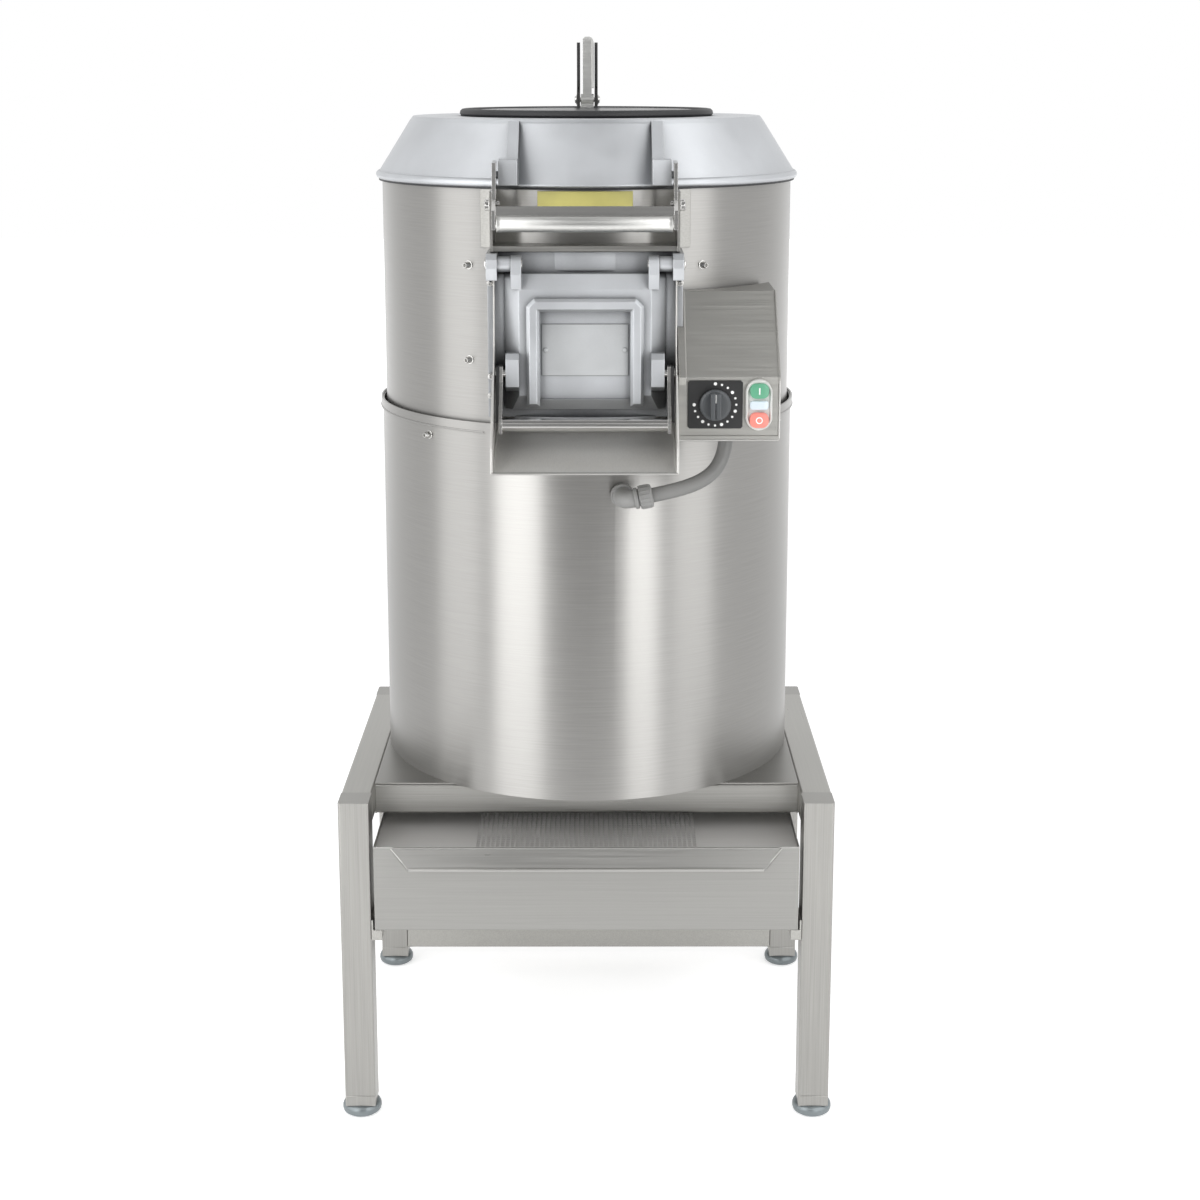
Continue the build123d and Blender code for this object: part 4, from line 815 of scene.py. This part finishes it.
# ---- tank ----
def tank_seams():
    """Rolled edge of the joint collar, and the weld seams at the back of the tank and the casing."""
    bead_in, bead_up, bead_gap = 0.4, 0.6, 27
    collar_x, _, collar_z = extent("joint_collar")
    mesh = bmesh.new()
    add_tube(mesh, open_circle(collar_x[1] - bead_in, collar_z[0] + bead_up, bead_gap, 180), 1.3, 8)
    finished("collar_bead", mesh, tank_steel)
    casing_low, pitch = 410, 4
    seams = ((TANK_R, collar_z[1] + 4, TANK_TOP_Z - 8), (CASING_R, casing_low, collar_z[0] - 6))
    mesh = bmesh.new()
    for radius, low, high in seams:
        steps = int((high - low) / pitch)
        points = [(0, radius, low + (high - low) * k / steps) for k in range(steps + 1)]
        add_tube(mesh, points, ripple(1.2, 0.3, steps + 1), 8)
    finished("tank_weld_seams", mesh, tank_steel)


lid_trim()
hatch_handle()
label_plate()
dial_marks()
knob_detail()
push_buttons()
filter_sheet()
drawer_hems()
stand_detail()
screws_and_nuts()
conduit_detail()
chute_hems()
hatch_bracket_detail()
bail_grip()
door_detail()
tank_seams()
box_edges()


# ---- stage, lights and camera ----
WHITE = (1, 1, 1, 1)
SKY_LIGHT = 0.55       # strength of the white surround where it lights the object


def matt(name, grey, rough):
    """Matt material with no shine, ready to glow white."""
    material, tree, shader = new_material(name)
    shader.inputs["Base Color"].default_value = (grey, grey, grey, 1)
    shader.inputs["Roughness"].default_value = rough
    shader.inputs["Specular IOR Level"].default_value = 0.0
    shader.inputs["Emission Color"].default_value = WHITE
    return material, tree, shader


def ground():
    """Pale floor that keeps the shadow and turns white away from the object, to the camera and in metal."""
    near, far, near_glow = 2.6, 6.0, 0.55
    bpy.ops.mesh.primitive_plane_add(size=16, location=(0, 4, 0))
    floor = bpy.context.object
    floor.name = "floor"
    material, tree, shader = matt("floor_white", 0.90, 0.9)
    place = tree.nodes.new("ShaderNodeNewGeometry")
    reach = tree.nodes.new("ShaderNodeVectorMath")
    reach.operation = "LENGTH"
    tree.links.new(place.outputs["Position"], reach.inputs[0])
    glow = tree.nodes.new("ShaderNodeMapRange")
    for name, value in (("From Min", near), ("From Max", far), ("To Min", near_glow), ("To Max", 1.0)):
        glow.inputs[name].default_value = value
    tree.links.new(reach.outputs["Value"], glow.inputs["Value"])
    tree.links.new(combine(tree, "MULTIPLY", glow.outputs["Result"], white_rays(tree)),
                   shader.inputs["Emission Strength"])
    floor.data.materials.append(material)


def surround():
    """World that is white to the camera and in metal and glass, and dimmer as a light."""
    world = bpy.data.worlds.new("studio")
    bpy.context.scene.world = world
    world.use_nodes = True
    tree = world.node_tree
    background = tree.nodes["Background"]
    background.inputs["Color"].default_value = WHITE
    strength = tree.nodes.new("ShaderNodeMapRange")
    strength.inputs["To Min"].default_value = SKY_LIGHT
    strength.inputs["To Max"].default_value = 1.0
    tree.links.new(white_rays(tree), strength.inputs["Value"])
    tree.links.new(strength.outputs["Result"], background.inputs["Strength"])


def white_rays(tree):
    """1 on camera, glossy and transmission rays, 0 on the others."""
    paths = tree.nodes.new("ShaderNodeLightPath")
    value = paths.outputs["Is Camera Ray"]
    for name in ("Is Glossy Ray", "Is Transmission Ray"):
        value = combine(tree, "MAXIMUM", value, paths.outputs[name])
    return value


def soft_box(name, azimuth, distance, width, low, high, radiance):
    """Upright soft box facing the tank axis; azimuth in degrees from the front, to the right."""
    turn = math.radians(azimuth)
    place = (distance * math.sin(turn), AXIS_Y - distance * math.cos(turn), (low + high) / 2)
    lamp(name, place, (0, AXIS_Y, place[2]), width, high - low, radiance)


def lamp(name, place, target, width, height, radiance):
    """Soft rectangular lamp aimed at a point."""
    data = bpy.data.lights.new(name, "AREA")
    data.shape = "RECTANGLE"
    data.size = width
    data.size_y = height
    data.energy = radiance * math.pi * width * height
    light = bpy.data.objects.new(name, data)
    bpy.context.collection.objects.link(light)
    light.location = place
    light.rotation_euler = (Vector(target) - Vector(place)).to_track_quat("-Z", "Y").to_euler()


def card(name, place, target, width, height, grey):
    """Matt card, grey in the metal's reflections and white to the camera."""
    turn = (Vector(target) - Vector(place)).to_track_quat("Z", "Y")
    bpy.ops.mesh.primitive_plane_add(size=1, location=place, rotation=turn.to_euler())
    item = bpy.context.object
    item.name = name
    item.scale = (width, height, 1)
    material, tree, shader = matt(name, grey, 1.0)
    paths = tree.nodes.new("ShaderNodeLightPath")
    tree.links.new(paths.outputs["Is Camera Ray"], shader.inputs["Emission Strength"])
    item.data.materials.append(material)


def studio():
    """Bright soft boxes beside the camera, weaker ones farther round, grey cards behind and above."""
    soft_box("left_key", -35, 1.5, 0.66, 0.05, 2.6, 2.9)
    soft_box("left_fill", -70, 1.7, 0.80, 0.05, 2.3, 1.25)
    soft_box("right_key", 28, 1.5, 0.44, 0.05, 2.5, 2.9)
    soft_box("right_fill", 57, 1.7, 0.70, 0.05, 2.3, 1.3)
    lamp("right_high", (1.45, AXIS_Y - 0.5, 2.7), (0, AXIS_Y, 1.1), 0.9, 0.9, 1.7)
    lamp("left_high", (-1.2, AXIS_Y - 0.8, 2.8), (0, AXIS_Y, 1.1), 0.5, 0.7, 1.7)
    card("card_behind_camera", (0, -3.4, 1.3), (0, 0, 1.0), 2.0, 3.0, 0.62)
    card("card_above", (0, -1.2, 2.9), (0, -0.2, 1.1), 1.1, 2.0, 0.30)


def camera():
    """Camera at the height of the lid, a little above the hatch, pitched down to the stand."""
    height, distance, side = 1.191, 2.353, 0.0159
    pitch, roll, rise = 0.1926, 0.0005, -0.12
    focal_px, frame_px = 1973.8, 1200
    data = bpy.data.cameras.new("camera")
    data.sensor_width = 36.0
    data.lens = focal_px / frame_px * data.sensor_width
    data.shift_y = rise
    item = bpy.data.objects.new("camera", data)
    bpy.context.collection.objects.link(item)
    item.location = (side, AXIS_Y - distance, height)
    item.rotation_euler = (math.pi / 2 - pitch, roll, 0)
    bpy.context.scene.camera = item


bpy.context.scene.view_settings.view_transform = "Standard"
ground()
surround()
studio()
camera()
